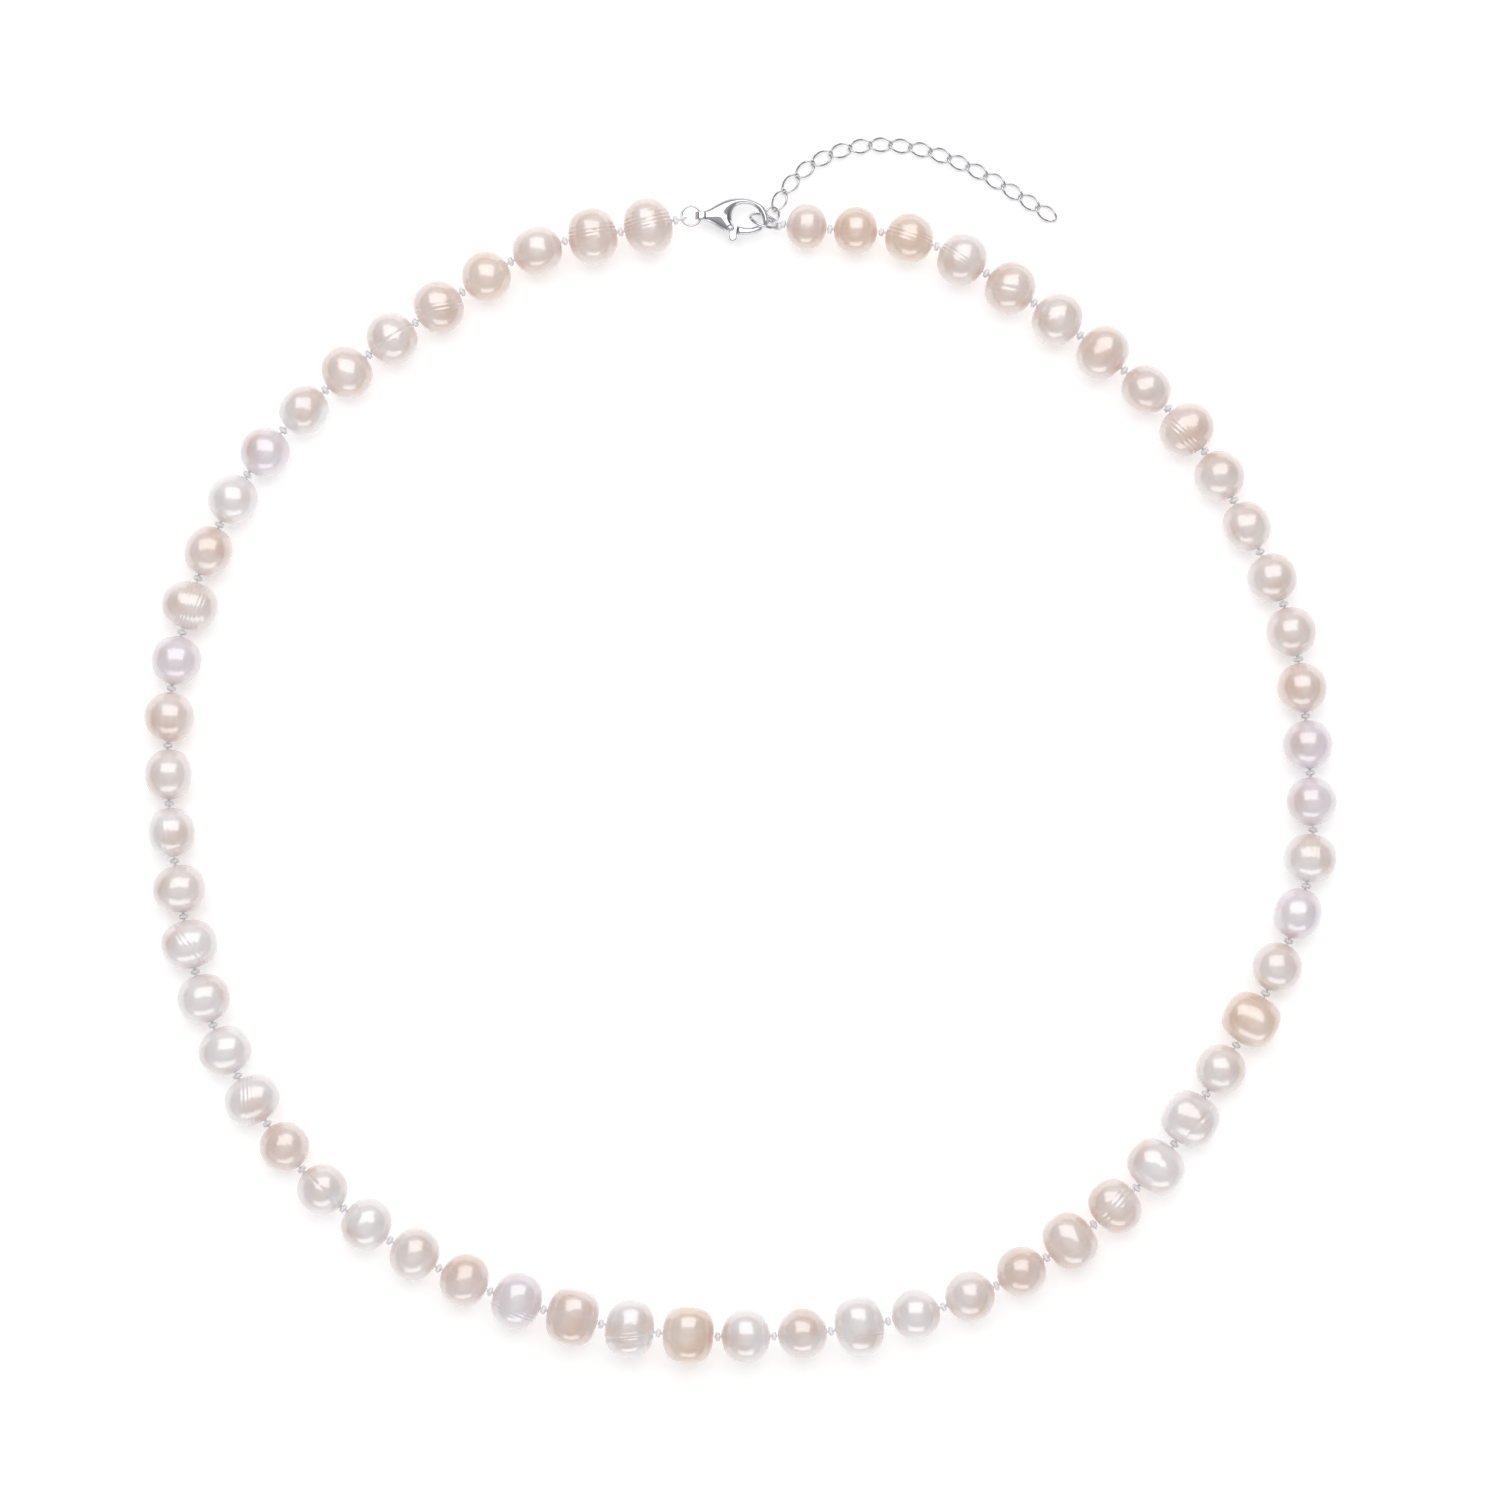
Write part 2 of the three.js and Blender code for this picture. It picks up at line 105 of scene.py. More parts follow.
# %% Lay the strand
def smooth_span(before, here, there, after, share):
    """A point of the smooth curve from here to there, which its two neighbours bend."""
    leave, arrive = (there - before) / 2, (after - here) / 2
    bend = 3 * (there - here) - 2 * leave - arrive
    twist = 2 * (here - there) + leave + arrive
    return here + share * (leave + share * (bend + share * twist))


def route_point(share):
    """A point of the strand's centre line, in millimetres, for a share of its parameter."""
    spans = len(ROUTE) - 1
    place = min(max(share, 0.0), 1.0) * spans
    first = min(int(place), spans - 1)
    rest = place - first
    here, there = np.array(ROUTE[first]), np.array(ROUTE[first + 1])
    before = np.array(ROUTE[first - 1]) if first > 0 else 2 * here - there
    after = np.array(ROUTE[first + 2]) if first + 2 <= spans else 2 * there - here
    return smooth_span(before, here, there, after, rest)


def lay_strand():
    """Pearls and knots along the route: centres, directions on the silk and sizes, in mm."""
    shares = np.linspace(0, 1, ROUTE_STEPS + 1)
    line = np.array([route_point(share) for share in shares])
    lengths = np.concatenate(([0], np.cumsum(np.linalg.norm(np.diff(line, axis=0), axis=1))))
    total = lengths[-1]
    kinds = [PEARL_KINDS[letter] for letter in STRINGING]
    filled = sum(along for along, _ in kinds) - (kinds[0][0] + kinds[-1][0]) / 2
    gap = (total - filled) / (len(kinds) - 1)
    pearls, travelled = [], 0.0
    for index, (along, across) in enumerate(kinds):
        if index:
            travelled += kinds[index - 1][0] / 2 + gap + along / 2
        share = np.interp(travelled, lengths, shares)
        x, y = route_point(share)
        ahead = route_point(share + TANGENT_STEP) - route_point(share - TANGENT_STEP)
        way = Vector((*ahead, 0)).normalized()
        pearls.append({"along": along, "across": across, "way": way,
                       "centre": Vector((x, y, along / 2))})
    faces = [(p["centre"] - p["way"] * p["along"] / 2, p["centre"] + p["way"] * p["along"] / 2)
             for p in pearls]
    knots = [faces[0][0] - pearls[0]["way"] * gap / 2]
    knots += [(faces[k - 1][1] + faces[k][0]) / 2 for k in range(1, len(pearls))]
    knots.append(faces[-1][1] + pearls[-1]["way"] * gap / 2)
    return pearls, knots, gap


pearls, knots, gap = lay_strand()


def run_of(side, pair):
    """A pair's pearls from the middle outwards, the knot it turns about and the one it ends in."""
    step = 1 if side == "left" else -1
    inner = MIDDLE_PEARL + step * (2 * pair - 1)
    outer = inner + step
    hinge, inside, free = (inner, outer, outer + 1) if step > 0 else (inner + 1, inner, outer)
    return {"pearls": (inner, outer), "hinge": hinge, "inside": inside, "free": free}


runs = {"middle": {"pearls": (MIDDLE_PEARL,), "hinge": None, "inside": None, "free": None}}
for side, pair in product(("right", "left"), range(1, PAIRS_PER_ARM + 1)):
    runs[f"{side}_{pair:02d}"] = run_of(side, pair)
drift = max((knots[run["hinge"]] * MM - joint_places[f"knot_{body}"]).length
            for body, run in runs.items() if body != "middle")
print(f"strand laid: gap between pearls {gap:.3f} mm, knots {drift / MM:.4f} mm off the joints")

# %% [markdown]
# The camera comes early, so that every later step can be looked at. A necklace is laid flat and
# looked at from straight above. A long lens far away keeps pearls at the edge from showing their
# sides. The frame is a little wider than the necklace and its chain.

# %% Camera
VIEW_CENTRE = (1.15, -0.26)
VIEW_WIDTH = 192.0
VIEW_HEIGHT = 800.0
SENSOR = 36.0
FARTHEST = 20
camera_data = bpy.data.cameras.new("camera")
camera = bpy.data.objects.new("camera", camera_data)
scene.collection.objects.link(camera)
camera_data.sensor_width = SENSOR
camera_data.lens = SENSOR * VIEW_HEIGHT / VIEW_WIDTH
camera_data.clip_end = FARTHEST
middle_height = max(along for along, _ in PEARL_KINDS.values()) / 2
camera.location = Vector((*VIEW_CENTRE, VIEW_HEIGHT + middle_height)) * MM
scene.camera = camera
print("camera:", round(camera_data.lens), "mm lens,", VIEW_HEIGHT, "mm above the pearls")

# %% [markdown]
# Node trees are easier to read as sums than as boxes and wires. This bench adds a node for each
# step, and a Flow is one value on its way through the tree, so plus, minus and times on it add
# Math nodes. The same bench serves the shape trees and the finishes.


# %% A bench for node trees
class Flow:
    """A value on its way through a node tree. Arithmetic on it adds Math nodes."""

    def __init__(self, bench, socket):
        self.bench, self.socket = bench, socket

    def maths(self, operation, *others):
        return self.bench.out("ShaderNodeMath", self, *others, operation=operation)

    __add__ = __radd__ = partialmethod(maths, "ADD")
    __sub__ = partialmethod(maths, "SUBTRACT")
    __mul__ = __rmul__ = partialmethod(maths, "MULTIPLY")
    __truediv__ = partialmethod(maths, "DIVIDE")
    __pow__ = partialmethod(maths, "POWER")
    sin = partialmethod(maths, "SINE")
    cos = partialmethod(maths, "COSINE")
    size = partialmethod(maths, "ABSOLUTE")

    def __rsub__(self, other):
        return (self * -1.0) + other

    def __rtruediv__(self, other):
        return self.bench.out("ShaderNodeMath", other, self, operation="DIVIDE")

    def bell(self):
        """1 at zero, falling away on both sides as a bell does."""
        return (self * self * -1.0).maths("EXPONENT")

    def between(self, low, high):
        return self.maths("MAXIMUM", low).maths("MINIMUM", high)


class Bench:
    """A node tree being wired."""

    def __init__(self, group):
        self.group = group

    def node(self, kind, *values, **settings):
        made = self.group.nodes.new(kind)
        for name, value in settings.items():
            setattr(made, name, value)
        for place, value in enumerate(values):
            self.feed(made.inputs[place], value)
        return made

    def feed(self, socket, value):
        value = value.socket if isinstance(value, Flow) else value
        if isinstance(value, bpy.types.NodeSocket):
            self.group.links.new(value, socket)
        elif value is not None:
            socket.default_value = value

    def out(self, kind, *values, **settings):
        return Flow(self, self.node(kind, *values, **settings).outputs[0])

    def vector(self, x, y, z):
        return self.out("ShaderNodeCombineXYZ", x, y, z)

    def vectors(self, operation, *values):
        return self.out("ShaderNodeVectorMath", *values, operation=operation)

    def fed(self, kind, inputs, **settings):
        """The first output of a node whose inputs are given by name."""
        made = self.node(kind, **settings)
        for label, value in inputs.items():
            self.feed(made.inputs[label], value)
        return made.outputs[0]

    def noise(self, place, scale, detail=3.0, rough=0.5):
        inputs = {"Vector": place, "Scale": scale, "Detail": detail, "Roughness": rough}
        return Flow(self, self.fed("ShaderNodeTexNoise", inputs, noise_dimensions="3D"))


class ShapeTree(Bench):
    """A Geometry Nodes tree with named sizes. It ends in Realize Instances and Set Material."""

    KINDS = {float: "NodeSocketFloat", int: "NodeSocketInt", tuple: "NodeSocketVector"}

    def __init__(self, name, **sizes):
        super().__init__(bpy.data.node_groups.new(name, "GeometryNodeTree"))
        face = self.group.interface
        face.new_socket("Seed points", in_out="INPUT", socket_type="NodeSocketGeometry")
        for label, value in sizes.items():
            kind = self.KINDS[type(value)]
            face.new_socket(label, in_out="INPUT", socket_type=kind).default_value = value
        face.new_socket("Piece", in_out="OUTPUT", socket_type="NodeSocketGeometry")
        given = self.group.nodes.new("NodeGroupInput")
        self.seed = given.outputs[0]
        self.size = {label: Flow(self, given.outputs[label]) for label in sizes}

    def read(self, name, kind="FLOAT"):
        return self.out("GeometryNodeInputNamedAttribute", name, data_type=kind)

    def store(self, geometry, name, value, kind="FLOAT"):
        inputs = {"Geometry": geometry, "Name": name, "Value": value}
        return self.fed("GeometryNodeStoreNamedAttribute", inputs, data_type=kind, domain="POINT")

    def placed(self, geometry, position):
        inputs = {"Geometry": geometry, "Position": position}
        return self.fed("GeometryNodeSetPosition", inputs)

    def copied(self, points, instance, **inputs):
        """A real copy of the instance on every point."""
        inputs = {"Points": points, "Instance": instance, **inputs}
        copies = self.fed("GeometryNodeInstanceOnPoints", inputs)
        return self.node("GeometryNodeRealizeInstances", copies).outputs[0]

    def circle(self, corners, radius=1.0):
        inputs = {"Resolution": corners, "Radius": radius}
        return self.fed("GeometryNodeCurvePrimitiveCircle", inputs)

    def angles(self, corners):
        """How far round each corner of a circle is."""
        return self.out("GeometryNodeInputIndex") * (2 * math.pi / corners)

    def tube(self, line, section, caps=True):
        inputs = {"Curve": line, "Profile Curve": section, "Fill Caps": caps}
        return self.fed("GeometryNodeCurveToMesh", inputs)

    def set_down(self, geometry, turn=None):
        """Turned to its lie and moved to its centre."""
        inputs = {"Geometry": geometry, "Translation": self.size["Centre"], "Rotation": turn}
        return self.fed("GeometryNodeTransform", inputs)

    def finish(self, geometry, material):
        whole = self.node("GeometryNodeRealizeInstances", geometry).outputs[0]
        smooth = self.node("GeometryNodeSetShadeSmooth", whole).outputs[0]
        painted = self.fed("GeometryNodeSetMaterial", {"Geometry": smooth, "Material": material})
        last = self.group.nodes.new("NodeGroupOutput")
        self.group.links.new(painted, last.inputs[0])
        return self.group


print("bench ready")

# %% [markdown]
# A tree needs something to grow from: a few seed points that carry each copy's own sizes. After
# the tree has run, its result is taken as a plain mesh, and the seeds and the modifier go. The
# piece then rides on its body, and the part of its frame node is hidden.


# %% Grow a piece from seed points
def seed_mesh(name, points, edges=(), **sizes):
    """Loose points, in metres, with one attribute for each size."""
    mesh = bpy.data.meshes.new(name)
    mesh.from_pydata([tuple(point) for point in points], list(edges), [])
    for label, values in sizes.items():
        colour = np.ndim(values) == 2
        kind, field = ("FLOAT_COLOR", "color") if colour else ("FLOAT", "value")
        layer = mesh.attributes.new(label, kind, "POINT")
        layer.data.foreach_set(field, np.asarray(values, np.float32).ravel())
    return mesh


def grow(name, tree, seeds, **sizes):
    """The tree's result on its seeds, as an object with a plain mesh and no modifier."""
    holder = bpy.data.objects.new(name + "_seeds", seeds)
    scene.collection.objects.link(holder)
    modifier = holder.modifiers.new("grow", "NODES")
    modifier.node_group = tree
    sockets = {item.name: item.identifier for item in tree.interface.items_tree
               if item.item_type == "SOCKET" and item.in_out == "INPUT"}
    for label, value in sizes.items():
        modifier[sockets[label]] = value
    graph = bpy.context.evaluated_depsgraph_get()
    result = bpy.data.meshes.new_from_object(
        holder.evaluated_get(graph), preserve_all_data_layers=True, depsgraph=graph)
    result.name = name
    painted = [material for material in result.materials if material]
    result.materials.clear()
    result.materials.append(painted[0])
    result.polygons.foreach_set("material_index", [0] * len(result.polygons))
    bpy.data.objects.remove(holder)
    bpy.data.meshes.remove(seeds)
    piece = bpy.data.objects.new(name, result)
    scene.collection.objects.link(piece)
    return piece


def triangles(pieces):
    return sum(len(face.vertices) - 2 for piece in pieces for face in piece.data.polygons)


print("grower ready")

# %% [markdown]
# Nacre is thousands of clear layers over a matte core. The body colour shows through them, soft
# reflections sit on top, and the edge of each pearl is pale. So the finish has a clear coat, a
# soft sheen and a little light passing under the skin. Each pearl has its own tint, and its
# colour drifts in clouds. Growth leaves lines round the long axis, and the pearl's tree stores
# how far along that axis each point is, so that the lines can follow it.


# %% Nacre
def new_finish(name):
    """A material, its bench, its surface shader and the piece's own coordinates."""
    material = bpy.data.materials.new(name)
    material.use_nodes = True
    bench = Bench(material.node_tree)
    shader = material.node_tree.nodes["Principled BSDF"]
    place = Flow(bench, bench.node("ShaderNodeTexCoord").outputs["Object"])
    return material, bench, shader, place


def attribute(bench, name, output="Fac"):
    made = bench.node("ShaderNodeAttribute", attribute_name=name, attribute_type="GEOMETRY")
    return Flow(bench, made.outputs[output])


def blend(bench, amount, first, second, way="MIX"):
    made = bench.node("ShaderNodeMix", data_type="RGBA", blend_type=way)
    for socket, value in ((0, amount), (6, first), (7, second)):
        bench.feed(made.inputs[socket], value)
    return Flow(bench, made.outputs[2])


def bumped(bench, shader, height, strength, depth):
    made = bench.fed("ShaderNodeBump", {"Strength": strength, "Distance": depth, "Height": height})
    bench.feed(shader.inputs["Normal"], made)


def settings(shader, **values):
    for label, value in values.items():
        shader.inputs[label.replace("_", " ")].default_value = value


PEACH = (0.68, 0.43, 0.31, 1.0)
CHALK = (0.92, 0.88, 0.86, 1.0)
CLOUDS, DRIFT, SKIN = (190.0, 2.0), (45.0, 0.0), (1500.0, 3.0, 0.6)
GROWTH_LINES, LINE_WANDER = 9.0, 25.0


def nacre():
    material, bench, shader, place = new_finish("nacre")
    tint = attribute(bench, "tint", "Color")
    growth = attribute(bench, "growth")
    clouds = bench.noise(place, *CLOUDS)
    warm = ((clouds - 0.50) * 2.4).between(0.0, 0.40)
    pale = ((0.50 - clouds) * 2.0).between(0.0, 0.35)
    drift = bench.noise(place, *DRIFT)
    across_growth = bench.vector(growth * GROWTH_LINES, drift * LINE_WANDER, 0.0)
    lines = bench.noise(across_growth, 1.0, 4.0, 0.65)
    skin = bench.noise(place, *SKIN)
    body = blend(bench, warm, tint, PEACH)
    body = blend(bench, pale, body, CHALK)
    body = blend(bench, ((lines - 0.5) * 1.2).between(0.0, 0.3), body, CHALK)
    bench.feed(shader.inputs["Base Color"], body)
    bench.feed(shader.inputs["Roughness"], 0.24 + skin * 0.12)
    bumped(bench, shader, lines * 0.6 + skin * 0.25, 0.14, 0.06 * MM)
    settings(shader, Subsurface_Weight=0.12, Subsurface_Scale=0.9 * MM, IOR=1.95)
    settings(shader, Coat_Weight=1.0, Coat_Roughness=0.15, Coat_IOR=1.9)
    settings(shader, Sheen_Weight=0.4, Sheen_Roughness=0.35, Sheen_Tint=(1.0, 0.93, 0.96, 1))
    shader.inputs["Subsurface Radius"].default_value = (1.0, 0.62, 0.5)
    return material


nacre_finish = nacre()
print("nacre:", len(nacre_finish.node_tree.nodes), "nodes")

# %% [markdown]
# No two potato pearls are alike. Each seed point carries one pearl's sizes and faults: how square
# its shoulders are, how it tapers, and where rings were grown into it. The tints are listed,
# one letter for each pearl, from rosy and peachy to white and lilac.
# The shape follows a rule, so a tree makes it. A flat grid is wrapped round the silk from one
# mouth of the drill hole to the other, and its last row comes back through the hole. A
# superellipse gives the body, bells pressed into it give the rings, and noise makes it uneven.
# Everything is taken away from the full size, so no pearl grows past its neighbour or the table.

# %% Pearls
TINTS = {
    "e": (0.80, 0.61, 0.50, 1.0),
    "p": (0.80, 0.66, 0.61, 1.0),
    "n": (0.80, 0.70, 0.67, 1.0),
    "w": (0.84, 0.79, 0.79, 1.0),
    "l": (0.79, 0.71, 0.76, 1.0),
}
PEARL_TINTS = "".join(
    ("peenpnpnpn", "nnnpllwlne", "nwwpppnwwn", "w", "ewplpnwwpw", "wwwnwnplnp", "wlwpnpeppp")
)
DRILL_RADIUS = 0.33
UNEVENNESS, LUMPS, RIPPLES = 0.05, (1.3, 1.0), (4.5, 2.0)
TAPER, TAPER_BEAT, SEED_STEP = 0.06, 2.4, 3.7
PLAIN_NET = {"Around": 80, "Rows": 48}
RINGED_NET = {"Around": 128, "Rows": 72}
WELD = 0.002
RIM_ANGLE = 50
SHOULDERS = {"a": 2.1, "c": 2.05, "r": 2.05, "f": 2.2, "o": 2.15, "g": 2.25, "b": 2.75, "d": 2.4}

# Rings by pearl: where the first lies across it (-1 to 1), the spread, the pitch and the depth
# in mm, and how far they lean from the silk, in degrees.
RINGS = {
    2: (0.10, 0.22, 0.17, 0.07, 4), 3: (0.05, 0.18, 0.15, 0.06, 8), 4: (-0.05, 0.2, 0.3, 0.05, -20),
    8: (-0.35, 0.3, 0.16, 0.09, -6), 16: (0.0, 0.2, 0.2, 0.05, 0), 21: (0.25, 0.12, 0.3, 0.06, 12),
    23: (-0.1, 0.25, 0.2, 0.06, -8), 28: (0.3, 0.16, 0.14, 0.06, 4), 31: (0.0, 0.3, 0.5, 0.05, 0),
    32: (0.30, 0.24, 0.26, 0.15, -13), 34: (0.42, 0.16, 0.13, 0.08, 5), 38: (-0.1, 0.1, 0.3, 0.05, 0),
    40: (0.15, 0.3, 0.17, 0.07, 28), 43: (-0.05, 0.2, 0.19, 0.07, -24), 45: (0.1, 0.2, 0.2, 0.05, 0),
    49: (-0.2, 0.5, 0.15, 0.07, 3), 55: (0.0, 0.14, 0.2, 0.07, 0), 56: (-0.1, 0.2, 0.17, 0.08, 22),
    59: (0.2, 0.2, 0.15, 0.09, 2), 60: (0.25, 0.28, 0.15, 0.10, -2),
}
PLAIN = (0.0, 0.2, 0.2, 0.0, 0)


def pearl_tree():
    tree = ShapeTree("drilled pearl", **PLAIN_NET, Drill=DRILL_RADIUS * MM,
                     Unevenness=UNEVENNESS, Seed=7.0)
    columns, rows = tree.size["Around"] + 1.0, tree.size["Rows"] + 1.0
    sheet = tree.node("GeometryNodeMeshGrid", 1.0, 1.0, columns, rows)
    number = tree.out("GeometryNodeInputIndex")
    column = (number / rows).maths("FLOOR")
    row = number - column * rows
    blank = tree.store(sheet.outputs[0], "turn", column / tree.size["Around"])
    blank = tree.store(blank, "step", row)
    centred = tree.store(tree.seed, "centre", tree.out("GeometryNodeInputPosition"), "FLOAT_VECTOR")
    loose = tree.copied(centred, blank)

    along, across = tree.read("along") * 0.5, tree.read("across") * 0.5
    mouth = (tree.size["Drill"] / along).maths("ARCSINE")
    last = tree.size["Rows"] - 1.0
    outside = tree.read("step").maths("LESS_THAN", last + 0.5)
    polar = mouth + (math.pi - mouth * 2.0) * tree.read("step") * outside / last
    around = tree.read("turn") * (2 * math.pi)
    on_silk, off_silk = polar.cos(), polar.sin()
    upward, sideways = off_silk * around.cos(), off_silk * around.sin()

    lean = tree.read("lean")
    level = sideways * lean.cos() + on_silk * lean.sin()
    waist = (on_silk * on_silk + upward * upward).maths("SQRT")
    taper = 1.0 - tree.read("taper").size() * (1.0 - level * tree.read("taper").maths("SIGN")) * 0.5
    power = tree.read("shoulders")
    wide = (waist / (along * taper)) ** power
    reach = (wide + (sideways.size() / across) ** power) ** (-1.0 / power)

    away = (level - tree.read("ring_place")) / tree.read("ring_spread")
    beat = ((level - tree.read("ring_place")) / tree.read("ring_pitch") * math.pi).cos()
    groove = away.bell() * (beat * beat) ** 1.6 * tree.read("ring_depth") * MM
    ray = tree.vector(on_silk, sideways, upward)
    shifted = tree.vectors("ADD", ray, tree.vector(tree.read("own_seed"), tree.size["Seed"], 0.0))
    lumps, ripples = tree.noise(shifted, *LUMPS), tree.noise(shifted, *RIPPLES)
    worn = 1.0 - tree.size["Unevenness"] * (lumps * 0.8 + ripples * 0.3)
    radius = reach * worn - groove

    heading = tree.read("heading")
    silkward, aside = on_silk * radius, sideways * radius
    offset = tree.vector(silkward * heading.cos() - aside * heading.sin(),
                         silkward * heading.sin() + aside * heading.cos(), upward * radius)
    shaped = tree.placed(loose, tree.vectors("ADD", tree.read("centre", "FLOAT_VECTOR"), offset))
    shaped = tree.store(shaped, "growth", level)
    inputs = {"Geometry": shaped, "Distance": WELD * MM}
    closed = tree.fed("GeometryNodeMergeByDistance", inputs)
    return tree.finish(closed, nacre_finish)


def pearl_sizes(index):
    """One pearl's sizes and faults, as its seed point carries them."""
    pearl = pearls[index]
    place, spread, pitch, depth, lean = RINGS.get(index, PLAIN)
    return {
        "along": pearl["along"] * MM, "across": pearl["across"] * MM,
        "heading": math.atan2(pearl["way"].y, pearl["way"].x),
        "shoulders": SHOULDERS[STRINGING[index]], "taper": TAPER * math.sin(TAPER_BEAT * index),
        "own_seed": SEED_STEP * index, "ring_place": place, "ring_spread": spread,
        "ring_pitch": pitch, "ring_depth": depth, "lean": math.radians(lean),
        "tint": TINTS[PEARL_TINTS[index]],
    }


def pearl_seeds(body, indices):
    rows = [pearl_sizes(index) for index in indices]
    sizes = {label: [row[label] for row in rows] for label in rows[0]}
    return seed_mesh(body, [pearls[index]["centre"] * MM for index in indices], **sizes)


drilled_pearl = pearl_tree()
pearl_pieces = {}
for body, run in runs.items():
    net = RINGED_NET if any(index in RINGS for index in run["pearls"]) else PLAIN_NET
    seeds = pearl_seeds(body, run["pearls"])
    pearl_pieces[body] = grow(f"nacre_{body}", drilled_pearl, seeds, **net)
    pearl_pieces[body].data.set_sharp_from_angle(angle=math.radians(RIM_ANGLE))
print("pearls:", len(STRINGING), "in", len(pearl_pieces), "pieces,",
      triangles(pearl_pieces.values()), "triangles")

# %% [markdown]
# Stringing silk is two plies twisted together, white with a cold lilac cast. The tree below
# stores, for each point, how far round and how far along the thread it is, so that the finish
# can draw the fibres on the slant they are twisted to.


# %% Silk
FIBRES_ROUND, FIBRES_ALONG = 9.0, 5200.0
SILK_SHADE, SILK_LIGHT = (0.95, 0.92, 0.96, 1), (0.99, 0.97, 0.99, 1)


def silk():
    material, bench, shader, place = new_finish("silk")
    slant = attribute(bench, "round") * FIBRES_ROUND + attribute(bench, "run") * FIBRES_ALONG
    fibres = (slant * (2 * math.pi)).sin() * 0.5 + 0.5
    fuzz = bench.noise(place, 6000.0, 3.0)
    shade = blend(bench, fibres * 0.5 + fuzz * 0.4, SILK_SHADE, SILK_LIGHT)
    bench.feed(shader.inputs["Base Color"], shade)
    bench.feed(shader.inputs["Roughness"], 0.55 + fuzz * 0.2)
    bumped(bench, shader, fibres + fuzz, 0.5, 0.012 * MM)
    settings(shader, Subsurface_Weight=0.1, Subsurface_Scale=0.05 * MM, Sheen_Weight=0.5)
    shader.inputs["Subsurface Radius"].default_value = (1.0, 0.9, 1.0)
    return material


silk_finish = silk()
print("silk:", len(silk_finish.node_tree.nodes), "nodes")

# %% [markdown]
# Between two pearls the thread is tied in a tight overhand knot. A tight overhand knot, seen
# from any side, is a small ball of crossing strands, and a trefoil line laid round the silk
# makes the same ball. So the tree lays one on each knot point. The thread itself runs straight
# through the pearls. Thread and knots are one line with a two-lobed section that turns as it
# runs, which is what twisting two plies does.

# %% Thread and knots
THREAD = 0.20
PLY_TWIST = 2 * math.pi / 0.55
KNOT_STRAND = 0.25
KNOT_RING = 0.33
KNOT_SWING = 0.07
KNOT_DEPTH = 0.065
THREAD_PAST_KNOT, THREAD_START, THREAD_STEP = 0.45, 0.3, 0.06
PLY_CORNERS, KNOT_CORNERS, KNOT_ROLL = 14, 66, 0.9


def ply_tube(tree, line, radius):
    """A two-ply thread round a line: a section with two lobes that turns along its length."""
    run = tree.node("GeometryNodeSplineParameter").outputs["Length"]
    inputs = {"Curve": line, "Tilt": Flow(tree, run) * (PLY_TWIST / MM)}
    twisted = tree.fed("GeometryNodeSetCurveTilt", inputs)
    noted = tree.store(twisted, "run", run)
    turn = tree.angles(PLY_CORNERS)
    lobes = (0.8 + (turn.cos() * turn.cos()) * 0.2) * radius
    outline = tree.vector(turn.cos() * lobes, turn.sin() * lobes, 0.0)
    section = tree.placed(tree.circle(PLY_CORNERS), outline)
    return tree.tube(noted, tree.store(section, "round", turn / (2 * math.pi)))


def silk_tree():
    tree = ShapeTree("silk and knots", Thread=THREAD * MM, Strand=KNOT_STRAND * MM,
                     Ring=KNOT_RING * MM, Swing=KNOT_SWING * MM, Depth=KNOT_DEPTH * MM)
    threads = tree.fed("GeometryNodeMeshToCurve", {"Mesh": tree.seed})
    inputs = {"Curve": threads, "Length": THREAD_STEP * MM}
    drawn = tree.fed("GeometryNodeResampleCurve", inputs, mode="LENGTH")

    turn = tree.angles(KNOT_CORNERS)
    reach = tree.size["Ring"] + (turn * 3.0).cos() * tree.size["Swing"]
    trefoil = tree.vector((turn * 3.0).sin() * tree.size["Depth"],
                          reach * (turn * 2.0).cos(), reach * (turn * 2.0).sin())
    lie = tree.vector(tree.read("roll"), 0.0, tree.read("heading"))
    lines = tree.copied(tree.seed, tree.placed(tree.circle(KNOT_CORNERS), trefoil),
                        Selection=tree.read("knot").maths("GREATER_THAN", 0.5),
                        Rotation=tree.node("FunctionNodeEulerToRotation", lie).outputs[0])
    both = tree.node("GeometryNodeJoinGeometry")
    for part in (ply_tube(tree, drawn, tree.size["Thread"]),
                 ply_tube(tree, lines, tree.size["Strand"])):
        tree.group.links.new(part, both.inputs[0])
    return tree.finish(both.outputs[0], silk_finish)


silk_and_knots = silk_tree()
print("thread", 2 * THREAD, "mm, knots", 2 * (KNOT_RING + KNOT_SWING + KNOT_STRAND), "mm across")

# %% [markdown]
# The findings hang on two end loops of silk. On the real strand the thread passes round the
# ring and back into the last knot. Their shape is a teardrop: out from the knot, round the
# ring's wire and home. The rings' places come from the frame, and so do their radii.

# %% Rings and where they lie
CATCH_LEAN = math.radians(64)
CATCH_HEADING = math.radians(-20)
CONNECTOR_NORMAL = Vector((-0.4, 0.2, -0.9))
RING_SIZES = {"jump_ring": (1.25, 0.15), "catch_ring": (1.85, 0.20), "connector_ring": (0.94, 0.15)}
SILK_LOOP = 0.5
LOOP_POINTS, LOOP_MOUTH = 15, 40

catch_level = Vector((math.cos(CATCH_HEADING), math.sin(CATCH_HEADING), 0))
catch_down = Vector((-catch_level.y, catch_level.x, 0)) * math.cos(CATCH_LEAN)
catch_down.z = -math.sin(CATCH_LEAN)
RING_NORMALS = {"jump_ring": Vector((0, 0, 1)), "catch_ring": catch_level.cross(catch_down),
                "connector_ring": CONNECTOR_NORMAL.normalized()}


def middle_of(node):
    low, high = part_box(node)
    return (low + high) / 2


